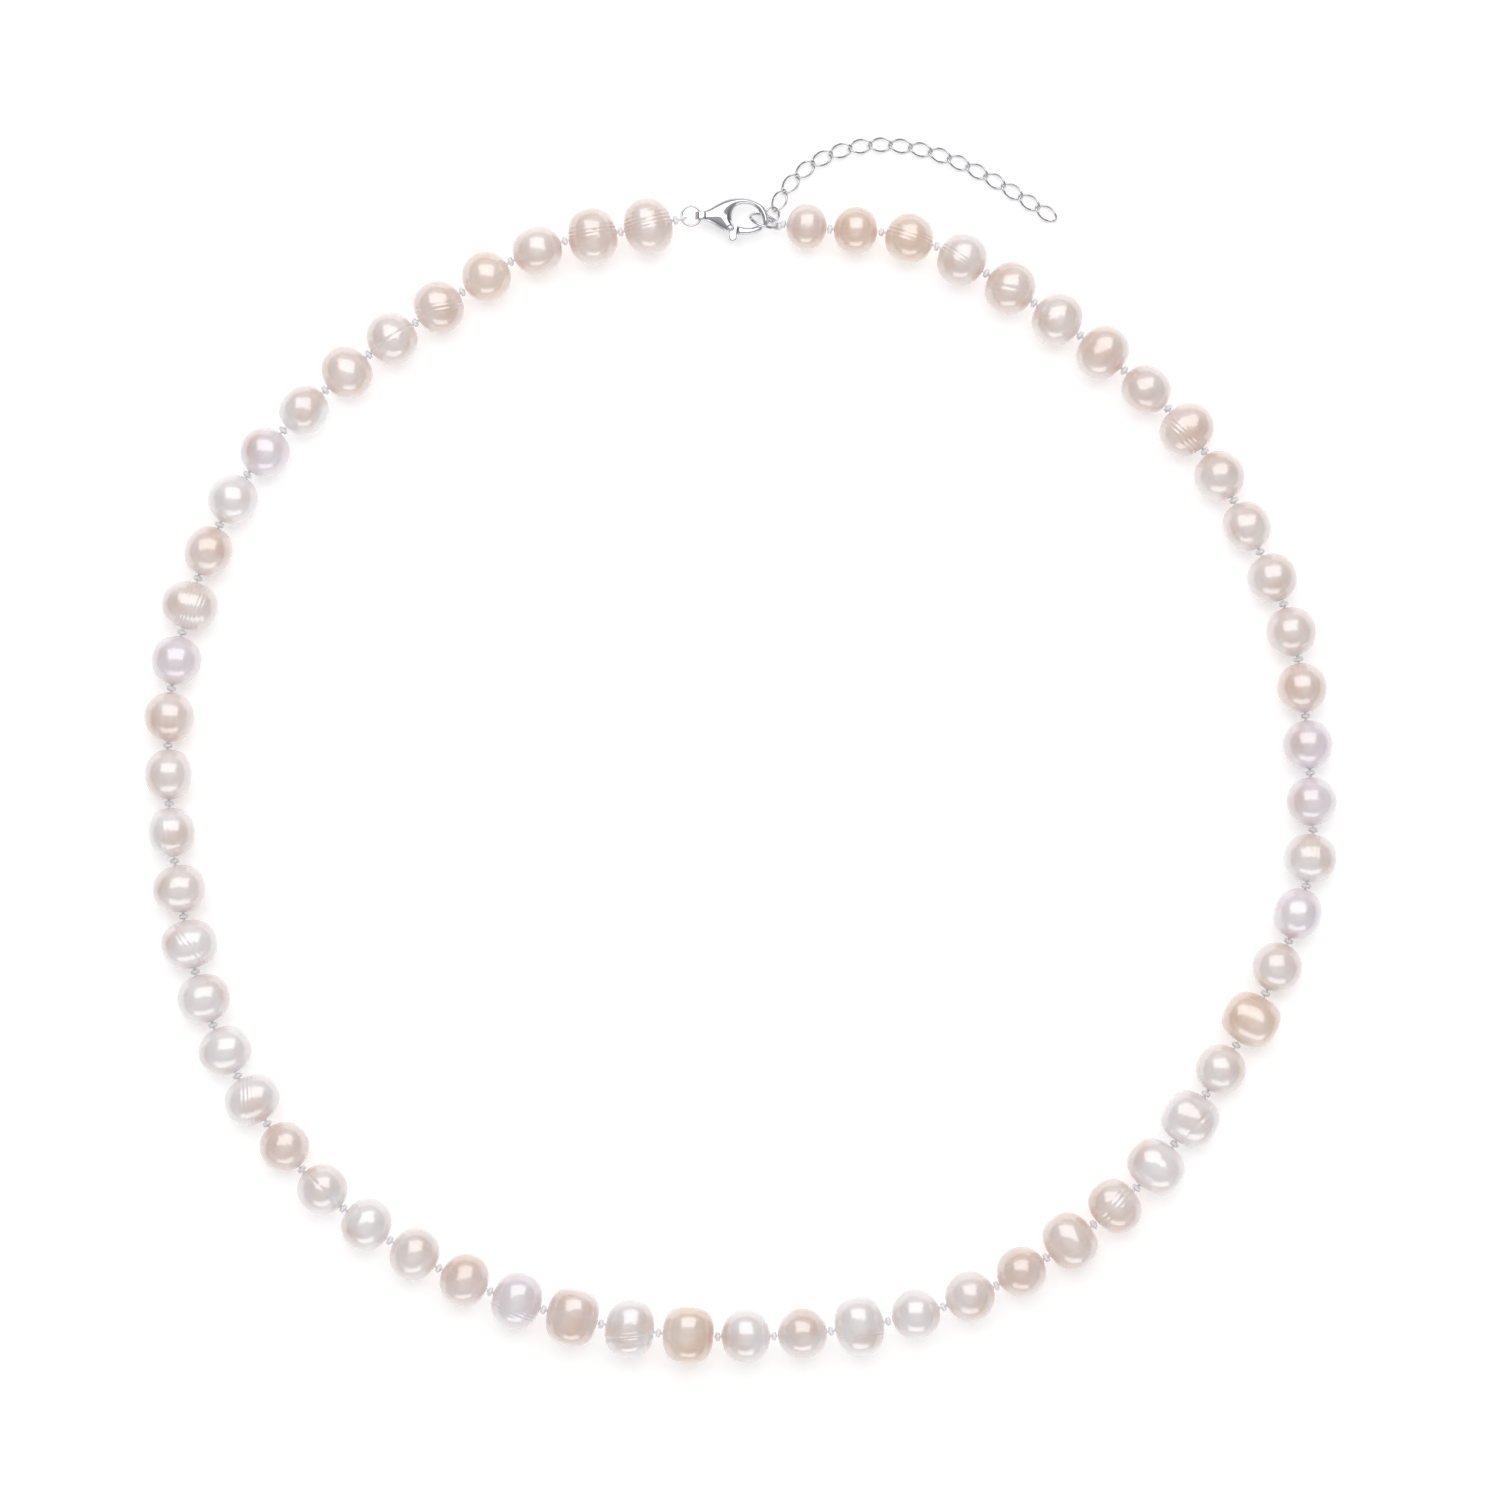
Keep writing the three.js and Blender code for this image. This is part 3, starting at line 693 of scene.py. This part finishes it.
for name, (radius, wire) in RING_SIZES.items():
    low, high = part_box(name)
    print(name, "longest side", round(max(high - low) / MM, 2), "of", 2 * (radius + wire))


def teardrop(knot, through, axis):
    """A closed line from the knot round the point and back, in the plane square to the axis."""
    back = knot - through
    back = (back - axis * back.dot(axis)).normalized()
    aside = axis.cross(back)
    points = [knot]
    for step in range(LOOP_POINTS):
        turn = math.radians(LOOP_MOUTH + (360 - 2 * LOOP_MOUTH) * step / (LOOP_POINTS - 1))
        points.append(through + (back * math.cos(turn) + aside * math.sin(turn)) * SILK_LOOP * MM)
    return points


def end_loop(body, knot):
    if body == f"right_{PAIRS_PER_ARM}":
        wire = middle_of("catch_ring") + catch_level * RING_SIZES["catch_ring"][0] * MM
        return teardrop(knot, wire, catch_down)
    if body == f"left_{PAIRS_PER_ARM}":
        centre = middle_of("jump_ring")
        towards = knot - centre
        towards.z = 0
        towards.normalize()
        wire = centre + towards * RING_SIZES["jump_ring"][0] * MM
        return teardrop(knot, wire, Vector((-towards.y, towards.x, 0)))
    return []


def silk_seeds(body, run):
    """Line ends, loop points and knot points of one body's silk."""
    points, edges, tied, headings = [], [], [], []

    def add(point, knot=0.0, heading=0.0):
        points.append(point)
        tied.append(knot)
        headings.append(heading)
        return len(points) - 1

    members = [pearls[index] for index in run["pearls"]]
    if body == "middle":
        ways = [members[0]["way"], -members[0]["way"]]
        own = [(knots[MIDDLE_PEARL + 1], ways[0]), (knots[MIDDLE_PEARL], ways[1])]
        start, finish = own[1][0] + ways[1] * THREAD_PAST_KNOT, own[0][0] + ways[0] * THREAD_PAST_KNOT
        line = [start, members[0]["centre"], finish]
    else:
        outward = members[1]["way"] * (1 if body.startswith("left") else -1)
        inward = members[0]["way"] * (-1 if body.startswith("left") else 1)
        own = [(knots[run["inside"]], outward), (knots[run["free"]], outward)]
        past = THREAD_PAST_KNOT if not body.endswith(str(PAIRS_PER_ARM)) else 0.0
        start = members[0]["centre"] + inward * (members[0]["along"] / 2 - THREAD_START)
        line = [start, members[0]["centre"], own[0][0], members[1]["centre"],
                own[1][0] + outward * past]
    steps = [add(point * MM) for point in line]
    edges += list(zip(steps, steps[1:]))
    for knot, way in own:
        add(knot * MM, 1.0, math.atan2(way.y, way.x))
    loop = [add(point) for point in end_loop(body, own[-1][0] * MM)]
    edges += list(zip(loop, loop[1:] + loop[:1]))
    rolls = [KNOT_ROLL * index + len(body) for index in range(len(points))]
    return seed_mesh(body, points, edges, knot=tied, heading=headings, roll=rolls)


silk_pieces = {body: grow(f"silk_{body}", silk_and_knots, silk_seeds(body, run))
               for body, run in runs.items()}
print("silk:", len(silk_pieces), "pieces,", triangles(silk_pieces.values()), "triangles")

# %% [markdown]
# The findings are polished sterling silver. Silver in this state is almost a mirror, so what
# tells is what little spoils it: a faint cloud of fine wear that changes the gloss, and hair
# scratches from cleaning. The silver's colour is darker than real silver's, because the table
# and lamps here are brighter than white. The clasp's spring is drawn steel wire, a duller grey.


# %% Silver and spring steel
DULLED = 0.82


def metal(name, colour, gloss, wear, grain):
    material, bench, shader, place = new_finish(name)
    cloud = bench.noise(place, 700.0, 4.0, 0.6)
    drawn = bench.vectors("MULTIPLY", place, (1.0, 9.0, 5.0))
    hairs = bench.noise(drawn, 2600.0 * grain, 4.0, 0.7)
    dulled = tuple(DULLED * part for part in colour)
    shade = blend(bench, ((cloud - 0.5) * 1.6).between(0.0, 0.45), (*colour, 1), (*dulled, 1))
    bench.feed(shader.inputs["Base Color"], shade)
    bench.feed(shader.inputs["Roughness"], gloss + cloud * wear + (hairs - 0.5) * wear)
    bumped(bench, shader, hairs, 0.05, 0.01 * MM)
    settings(shader, Metallic=1.0)
    return material


silver_finish = metal("polished_silver", (0.60, 0.60, 0.62), 0.04, 0.08, 1.0)
steel_finish = metal("spring_steel", (0.55, 0.56, 0.58), 0.18, 0.20, 2.0)
print("metals:", silver_finish.name, "and", steel_finish.name)

# %% [markdown]
# The three rings are round wire bent to a circle and closed end to end. A fine saw line is left
# where the ends meet, as on any jump ring. One tree bends them all: a circle with a small gap,
# given a round section with closed ends, turned to its lie and set in its place.

# %% Rings
SAW_LINE = 0.03
RING_CORNERS, WIRE_CORNERS = 96, 20


def ring_tree():
    tree = ShapeTree("wire ring", Radius=1.0 * MM, Wire=0.1 * MM, Opening=SAW_LINE * MM,
                     Turn=(0.0, 0.0, 0.0), Centre=(0.0, 0.0, 0.0))
    gap_angle = tree.size["Opening"] / tree.size["Radius"]
    line = tree.fed("GeometryNodeCurveArc", {
        "Resolution": RING_CORNERS, "Radius": tree.size["Radius"], "Start Angle": gap_angle * 0.5,
        "Sweep Angle": 2 * math.pi - gap_angle}, mode="RADIUS")
    tube = tree.tube(line, tree.circle(WIRE_CORNERS, tree.size["Wire"]))
    return tree.finish(tree.set_down(tube, tree.size["Turn"]), silver_finish)


wire_ring = ring_tree()
ring_pieces = {}
for name, (radius, wire) in RING_SIZES.items():
    turn = RING_NORMALS[name].to_track_quat("Z", "Y").to_euler()
    ring_pieces[name] = grow(
        name + "_wire", wire_ring, seed_mesh(name, [(0, 0, 0)]), Radius=radius * MM,
        Wire=wire * MM, Turn=tuple(turn), Centre=tuple(middle_of(name)))
print("rings:", len(ring_pieces), "pieces,", triangles(ring_pieces.values()), "triangles")

# %% [markdown]
# An extender chain of curb links lies flat, because each link is an oval twisted about its long
# axis. The tree bends a circle onto that twisted oval and gives it a round wire. Every link sits
# at the middle of its frame node, and points away from the joint that it swings on.

# %% Extender chain
LINK_COUNT = 16
LINK = {"Half": 1.51, "Breadth": 0.84, "Wire": 0.14}
LINK_TWIST = 50
LINK_CORNERS, LINK_WIRE_CORNERS = 64, 16


def link_tree():
    tree = ShapeTree("curb link", Twist=math.radians(LINK_TWIST), Heading=0.0,
                     Centre=(0.0, 0.0, 0.0), **{key: value * MM for key, value in LINK.items()})
    turn = tree.angles(LINK_CORNERS)
    tilt = turn.cos() * tree.size["Twist"]
    breadth = turn.sin() * tree.size["Breadth"]
    bent = tree.placed(tree.circle(LINK_CORNERS), tree.vector(
        turn.cos() * tree.size["Half"], breadth * tilt.cos(), breadth * tilt.sin()))
    wire = tree.tube(bent, tree.circle(LINK_WIRE_CORNERS, tree.size["Wire"]), caps=False)
    heading = tree.vector(0.0, 0.0, tree.size["Heading"])
    return tree.finish(tree.set_down(wire, heading), silver_finish)


curb_link = link_tree()
link_pieces = {}
for number in range(1, LINK_COUNT + 1):
    name = f"chain_link_{number:02d}"
    centre = middle_of(name)
    way = centre - joint_places[f"link_{number:02d}_swing"]
    link_pieces[f"link_{number:02d}"] = grow(
        name + "_wire", curb_link, seed_mesh(name, [(0, 0, 0)]),
        Heading=math.atan2(way.y, way.x), Centre=tuple(centre))
print("chain:", len(link_pieces), "links,", triangles(link_pieces.values()), "triangles")

# %% [markdown]
# The clasp is cast, then polished until every edge is soft. Such a shape is easy to say and hard
# to push together from faces: a drop-shaped body that swells in the middle, a hook of round
# section, an eye, and cuts for the lever, the pin and the silk. So it is said as a field, a
# number at each point of space that is below zero inside the metal. Joining two fields softly
# gives the fillets of a casting. A surface net then wraps the zero level in clean quads, and
# every corner is pulled onto the level, so that reflections run smoothly. Where two thin walls
# pinch the net into one edge, that edge is drawn together to a point, so the skin stays closed.


# %% Wrap a field in a net of faces
PULLS, SLOPE_STEPS, LEAST_STEEP = 4, 50, 0.05


def field_slope(field, points, level, step):
    return np.stack([(field(points + shift) - level) / step for shift in np.eye(3) * step], -1)


def net_faces(inside, numbers):
    """A quad for each grid edge that crosses the surface, from the numbers of its four cells."""
    faces = []
    for axis in range(3):
        near, far = [slice(None)] * 3, [slice(None)] * 3
        near[axis], far[axis] = slice(None, -1), slice(1, None)
        crossed = np.argwhere(inside[tuple(near)] != inside[tuple(far)])
        one, two = np.eye(3, dtype=int)[(axis + 1) % 3], np.eye(3, dtype=int)[(axis + 2) % 3]
        leaving = inside[tuple(crossed.T)]
        corners = [crossed - one - two, crossed - two, crossed, crossed - one]
        quads = np.stack([numbers[tuple(corner.T)] for corner in corners], -1)
        faces.append(np.where(leaving[:, None], quads, quads[:, ::-1]))
    return np.concatenate(faces)


def wrap(name, field, space, cell):
    """A silver piece where the field is below zero, in millimetres from the clasp's eye."""
    axes = [np.arange(first, last + cell, cell) for first, last in zip(*space)]
    grid = np.stack(np.meshgrid(*axes, indexing="ij"), -1)
    inside = (field(grid.reshape(-1, 3)) < 0).reshape(grid.shape[:3])
    corners = np.stack([inside[a or None:(a - 1) or None, b or None:(b - 1) or None,
                               c or None:(c - 1) or None] for a, b, c in product((0, 1), repeat=3)])
    mixed = corners.any(0) & ~corners.all(0)
    numbers = np.full(mixed.shape, -1)
    numbers[mixed] = np.arange(mixed.sum())
    points = grid[:-1, :-1, :-1][mixed] + cell / 2
    for _ in range(PULLS):
        level = field(points)
        slope = field_slope(field, points, level, cell / SLOPE_STEPS)
        steep = np.maximum((slope**2).sum(-1), LEAST_STEEP)
        points += np.clip(-(level / steep)[:, None] * slope, -cell / 2, cell / 2)
    mesh = bpy.data.meshes.new(name)
    faces = net_faces(inside, numbers)
    mesh.from_pydata([tuple(point) for point in points * MM + np.array(clasp_eye)], [],
                     [tuple(face) for face in faces.tolist()])
    shell = bmesh.new()
    shell.from_mesh(mesh)
    pinched = [edge for edge in shell.edges if not edge.is_manifold]
    bmesh.ops.collapse(shell, edges=pinched)
    shell.to_mesh(mesh)
    shell.free()
    mesh.polygons.foreach_set("use_smooth", [True] * len(mesh.polygons))
    mesh.materials.append(silver_finish)
    piece = bpy.data.objects.new(name, mesh)
    scene.collection.objects.link(piece)
    print(name, "faces:", len(faces), "corners:", len(points), "pinched:", len(pinched))
    return piece


# %% [markdown]
# The fields are put together from a few words. An outline's distance is below zero inside it,
# and its points are rounded off by a smooth closed curve. A pebble is an outline with a
# thickness, rounded over at its rim. Soft joins and soft cuts leave a small fillet.


# %% Words for fields
def rounded_outline(points, pieces=5):
    """A smooth closed curve through the outline's points."""
    spots = np.array(points, float)
    before, there, after = (np.roll(spots, shift, 0) for shift in (1, -1, -2))
    curve = [smooth_span(before, spots, there, after, share) for share in np.arange(pieces) / pieces]
    return np.stack(curve, 1).reshape(-1, 2)


def outline_distance(points, outline, batch=20000):
    """How far each point is from the outline, below zero inside it."""
    ends = np.roll(outline, -1, 0)
    sides = ends - outline
    flat, column = np.unique(points[:, :2], axis=0, return_inverse=True)
    found = []
    for start in range(0, len(flat), batch):
        spots = flat[start:start + batch, None]
        way = spots - outline
        share = np.clip((way * sides).sum(-1) / (sides**2).sum(-1), 0, 1)
        nearest = np.sqrt(((way - share[..., None] * sides) ** 2).sum(-1).min(-1))
        above, below = outline[:, 1] > spots[..., 1], ends[:, 1] > spots[..., 1]
        cut = outline[:, 0] + (spots[..., 1] - outline[:, 1]) / (sides[:, 1] + 1e-12) * sides[:, 0]
        odd = ((above != below) & (spots[..., 0] < cut)).sum(-1) % 2 == 1
        found.append(np.where(odd, -nearest, nearest))
    return np.concatenate(found)[column.ravel()]


def soft_join(one, two, fillet):
    share = np.clip(0.5 + 0.5 * (two - one) / fillet, 0, 1)
    return two + (one - two) * share - fillet * share * (1 - share)


def soft_cut(solid, cut, fillet):
    return -soft_join(-solid, cut, fillet)


def pebble(points, outline, thick, rim, middle=0.0):
    """An outline of the given half thickness, rounded over within the rim's width."""
    edge = np.maximum(1 + outline_distance(points, outline) / rim, 0)
    return (np.hypot(edge, (points[:, 2] - middle) / thick) - 1) * rim


print("field words ready")

# %% [markdown]
# The clasp's own sizes, in millimetres from the middle of its eye, with +X towards the nose of
# the hook. The outline is the one that the frame's plain plate has. Polishing has rounded its
# rim, and the body swells towards its middle, which gives the bright and dark bands.

# %% Clasp body
BODY_OUTLINE = rounded_outline([
    (0.2, 0.5), (1.0, 0.85), (2.1, 1.5), (3.3, 2.05), (4.6, 2.25), (5.9, 2.2), (7.0, 1.85),
    (7.9, 1.3), (8.5, 0.4), (8.7, -0.4), (8.65, -1.1), (8.35, -1.55), (8.05, -1.45),
    (7.95, -0.9), (7.8, -0.2), (7.3, 0.8), (6.4, 1.35), (5.3, 1.45), (4.5, 1.15), (4.05, 0.5),
    (3.95, -0.3), (4.1, -0.9), (4.42, -1.35), (4.4, -1.8), (4.05, -2.15), (3.4, -2.2),
    (2.7, -1.85), (1.7, -1.25), (1.0, -0.85), (0.2, -0.5),
])
SLOT_OUTLINE = rounded_outline([
    (3.1, -0.85), (4.2, -0.6), (5.2, -0.6), (5.2, -3.0), (2.9, -3.0), (3.0, -1.9),
])
SLOT_BOTTOM, SLOT_TOP = -0.4, 0.38
PIVOT = np.array((3.75, -1.55))
PIN_RADIUS, PIN_PLAY = 0.28, 0.04
EYE_RADIUS, EYE_HOLE, EYE_HALF = 0.78, 0.42, 0.5
HOOK_HALF, SWELL = 0.58, 0.12
HOOK_RIM, SWELL_RIM = 0.4, 0.95
SWELL_MIDDLE, SWELL_REACH = 2.7, 1.35
BARREL_EDGE, BARREL_JOIN, EYE_EDGE, SLOT_EDGE, BODY_HOLE_EDGE = 0.12, 0.3, 0.1, 0.06, 0.04
CASTING_SPACE = (-0.95, -2.45, -0.9), (8.95, 2.5, 0.9)
clasp_low, clasp_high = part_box("clasp_body")
clasp_eye = Vector((clasp_low.x + EYE_RADIUS * MM, 0, (clasp_low.z + clasp_high.z) / 2))
clasp_eye.y = joint_places["lever_pivot"].y - PIVOT[1] * MM


def pin_hole(points, radius):
    return np.hypot(*(points[:, :2] - PIVOT).T) - radius


def body_field(points):
    x, y, z = points.T
    belly = np.exp(-(((x - SWELL_MIDDLE) / SWELL_REACH) ** 2))
    metal_part = pebble(points, BODY_OUTLINE, HOOK_HALF + SWELL * belly,
                        HOOK_RIM + SWELL_RIM * belly)
    across_eye = np.hypot(x, z)
    barrel = -soft_join(-(across_eye - EYE_RADIUS), -(np.abs(y) - EYE_HALF), BARREL_EDGE)
    metal_part = soft_join(metal_part, barrel, BARREL_JOIN)
    metal_part = soft_cut(metal_part, across_eye - EYE_HOLE, EYE_EDGE)
    middle, deep = (SLOT_TOP + SLOT_BOTTOM) / 2, (SLOT_TOP - SLOT_BOTTOM) / 2
    slot = np.maximum(outline_distance(points, SLOT_OUTLINE), np.abs(z - middle) - deep)
    metal_part = soft_cut(metal_part, slot, SLOT_EDGE)
    return soft_cut(metal_part, pin_hole(points, PIN_RADIUS + PIN_PLAY), BODY_HOLE_EDGE)


CELL = 0.06
clasp_pieces = {"clasp_body": wrap("clasp_casting", body_field, CASTING_SPACE, CELL)}

# %% [markdown]
# The lever is a second small casting. Its hub sits in the body's slot and turns on the pin, its
# arm closes the hook from inside, and its nub stands out below the body for the thumb.

# %% Clasp lever and pin
HUB_OUTLINE = rounded_outline([
    (3.42, -1.15), (3.75, -1.02), (4.15, -1.12), (5.1, -1.4), (5.3, -2.1), (4.65, -2.3),
    (4.6, -2.9), (4.2, -3.25), (3.8, -3.2), (3.62, -2.9), (3.55, -2.1), (3.3, -1.75),
])
ARM_OUTLINE = rounded_outline([
    (4.75, -1.38), (5.6, -1.52), (6.5, -1.5), (7.2, -1.3), (7.8, -1.05), (7.92, -1.5),
    (7.7, -1.95), (6.8, -2.35), (5.8, -2.48), (4.75, -2.4),
])
HUB_BOTTOM, HUB_TOP = -0.35, 0.03
ARM_HALF = 0.5
PIN_HALF = 0.7
HUB_RIM, ARM_RIM, HUB_JOIN, HUB_HOLE_EDGE, PIN_EDGE = 0.12, 0.34, 0.1, 0.03, 0.12
LEVER_SPACE = (3.0, -3.5, -0.65), (8.2, -0.7, 0.65)
PIN_SPACE, PIN_CELL = ((3.3, -2.0, -0.85), (4.2, -1.1, 0.85)), 0.04


def lever_field(points):
    middle, deep = (HUB_TOP + HUB_BOTTOM) / 2, (HUB_TOP - HUB_BOTTOM) / 2
    hub = pebble(points, HUB_OUTLINE, deep, HUB_RIM, middle)
    arm = pebble(points, ARM_OUTLINE, ARM_HALF, ARM_RIM)
    whole = soft_join(hub, arm, HUB_JOIN)
    return soft_cut(whole, pin_hole(points, PIN_RADIUS + PIN_PLAY), HUB_HOLE_EDGE)


def pin_field(points):
    round_part = pin_hole(points, PIN_RADIUS)
    return -soft_join(-round_part, -(np.abs(points[:, 2]) - PIN_HALF), PIN_EDGE)


clasp_pieces["clasp_lever"] = wrap("clasp_gate", lever_field, LEVER_SPACE, CELL)
clasp_pieces["clasp_pin"] = wrap("clasp_rivet", pin_field, PIN_SPACE, PIN_CELL)

# %% [markdown]
# A torsion spring wound round the pin pushes the lever shut. It follows a line, so a tree draws
# it: a spiral of constant radius with a thin round wire.

# %% Clasp spring
SPRING = {"Coil": 0.43, "Wire": 0.05, "Rise": 0.17}
SPRING_BOTTOM, SPRING_TURNS = 0.12, 1.6
COIL_CORNERS, COIL_WIRE_CORNERS = 48, 10


def spring_tree():
    tree = ShapeTree("torsion spring", Turns=SPRING_TURNS, Centre=(0.0, 0.0, 0.0),
                     **{key: value * MM for key, value in SPRING.items()})
    coil = tree.fed("GeometryNodeCurveSpiral", {
        "Resolution": COIL_CORNERS, "Rotations": tree.size["Turns"],
        "Start Radius": tree.size["Coil"], "End Radius": tree.size["Coil"],
        "Height": tree.size["Rise"]})
    wire = tree.tube(coil, tree.circle(COIL_WIRE_CORNERS, tree.size["Wire"]))
    return tree.finish(tree.set_down(wire), steel_finish)


spring_place = clasp_eye + Vector((*PIVOT, SPRING_BOTTOM)) * MM
clasp_pieces["clasp_spring"] = grow("clasp_coil", spring_tree(), seed_mesh("coil", [(0, 0, 0)]),
                                    Centre=tuple(spring_place))
print("clasp:", triangles(clasp_pieces.values()), "triangles in", len(clasp_pieces), "pieces")

# %% [markdown]
# Now each piece is hung on its body, and the part of its frame node is hidden. The
# pearls hide the whole node of their pair, and the silk of the same pair rides with them.

# %% Hang the pieces on their bodies
def node_of_run(body):
    return "pearl_middle" if body == "middle" else f"pearls_{body}"


def hang(piece, body, slot, *nodes):
    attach(piece, body)
    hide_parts(*nodes)


for body in runs:
    hang(pearl_pieces[body], body, "pearl", node_of_run(body))
    hang(silk_pieces[body], body, "pearl", node_of_run(body))
for name, piece in ring_pieces.items():
    body = "connector" if name == "connector_ring" else name
    hang(piece, body, "clasp_silver", name)
for body, piece in link_pieces.items():
    hang(piece, body, "chain_silver", f"chain_{body}")
for name, piece in clasp_pieces.items():
    slot = "spring_steel" if name == "clasp_spring" else "clasp_silver"
    hang(piece, "lever" if name == "clasp_lever" else "clasp", slot, name)

# %% [markdown]
# Jewellery is shot in a white tent: a pale table, a large soft light behind the piece, a weaker
# one in front, and a darker opening above where the camera looks in. On a pearl these give the
# large highlight, the dimmer one below it and the quiet band between them, and the white table
# gives the pale rim. The tent is a world that is brightest a third of the way up and dark
# overhead. The camera sees it as plain pale grey, and the table glows a little, so that the
# shadows stay faint.

# %% Table, tent and lamps
TABLE_SIZE, TABLE_GREY, TABLE_GLOW = 6.0, 0.93, 0.29
table_mesh = bpy.data.meshes.new("table")
corner = TABLE_SIZE / 2
table_mesh.from_pydata([(-corner, -corner, 0), (corner, -corner, 0), (corner, corner, 0),
                        (-corner, corner, 0)], [], [(0, 1, 2, 3)])
table = bpy.data.objects.new("table", table_mesh)
scene.collection.objects.link(table)
paper = bpy.data.materials.new("paper")
paper.use_nodes = True
paper_shader = paper.node_tree.nodes["Principled BSDF"]
settings(paper_shader, Base_Color=(*[TABLE_GREY] * 3, 1), Roughness=0.9, Specular_IOR_Level=0.1)
settings(paper_shader, Emission_Color=(1, 1, 1, 1), Emission_Strength=TABLE_GLOW)
table_mesh.materials.append(paper)


# How bright the tent is at each height, from the table's edge (0) to overhead (1).
TENT_GREYS = ((0.0, 0.2), (1.0, 0.04), (0.15, 0.42), (0.35, 0.62), (0.7, 0.35))
TENT_SIDE, TENT_FALL, TENT_SEEN = 0.55, 0.25, 0.93
WALL_HEIGHT, WALL_EDGE, WALL_GLOW = 0.34, 4.0, 0.6

# Each soft box: degrees from overhead towards +Y, distance, width and height in metres, glow.
SOFT_BOXES = {"back_box": (32, 1.0, 1.30, 0.94, 1.95), "front_box": (-69, 1.0, 1.10, 0.46, 1.3)}


def tent():
    world = bpy.data.worlds.new("tent")
    world.use_nodes = True
    scene.world = world
    bench = Bench(world.node_tree)
    sky = world.node_tree.nodes["Background"]
    way = bench.node("ShaderNodeTexCoord").outputs["Generated"]
    parts = bench.node("ShaderNodeSeparateXYZ", way)
    depth, height = Flow(bench, parts.outputs["Y"]), Flow(bench, parts.outputs["Z"])
    ramp = bench.node("ShaderNodeValToRGB", height)
    elements = ramp.color_ramp.elements
    made = [*elements] + [elements.new(0.5) for _ in TENT_GREYS[len(elements):]]
    for element, (place, grey) in zip(made, TENT_GREYS):
        element.position, element.color = place, (grey, grey, grey, 1)
    near = TENT_SIDE - depth * TENT_FALL
    wall = depth * depth * ((height - WALL_HEIGHT) * WALL_EDGE).bell() * WALL_GLOW
    lit = blend(bench, 1.0, ramp.outputs[0], bench.vector(near, near, near), "MULTIPLY")
    lit = blend(bench, 1.0, lit, bench.vector(wall, wall, wall), "ADD")
    seen = bench.node("ShaderNodeLightPath").outputs["Is Camera Ray"]
    bench.feed(sky.inputs["Color"], blend(bench, seen, lit, (*[TENT_SEEN] * 3, 1)))
    sky.inputs["Strength"].default_value = 1.0


def lamp(name, tilt, distance, width, height, glow):
    """A soft box, tilted from overhead towards +Y, that faces the middle of the table."""
    data = bpy.data.lights.new(name, "AREA")
    data.shape = "RECTANGLE"
    data.size, data.size_y = width, height
    data.energy = glow * math.pi * width * height
    made = bpy.data.objects.new(name, data)
    angle = math.radians(tilt)
    made.location = (0, distance * math.sin(angle), distance * math.cos(angle))
    made.rotation_euler = (-angle, 0, 0)
    made.visible_camera = False
    scene.collection.objects.link(made)


tent()
for name, box in SOFT_BOXES.items():
    lamp(name, *box)
scene.view_settings.view_transform = "Standard"
print("table, tent and", len(SOFT_BOXES), "soft boxes set")
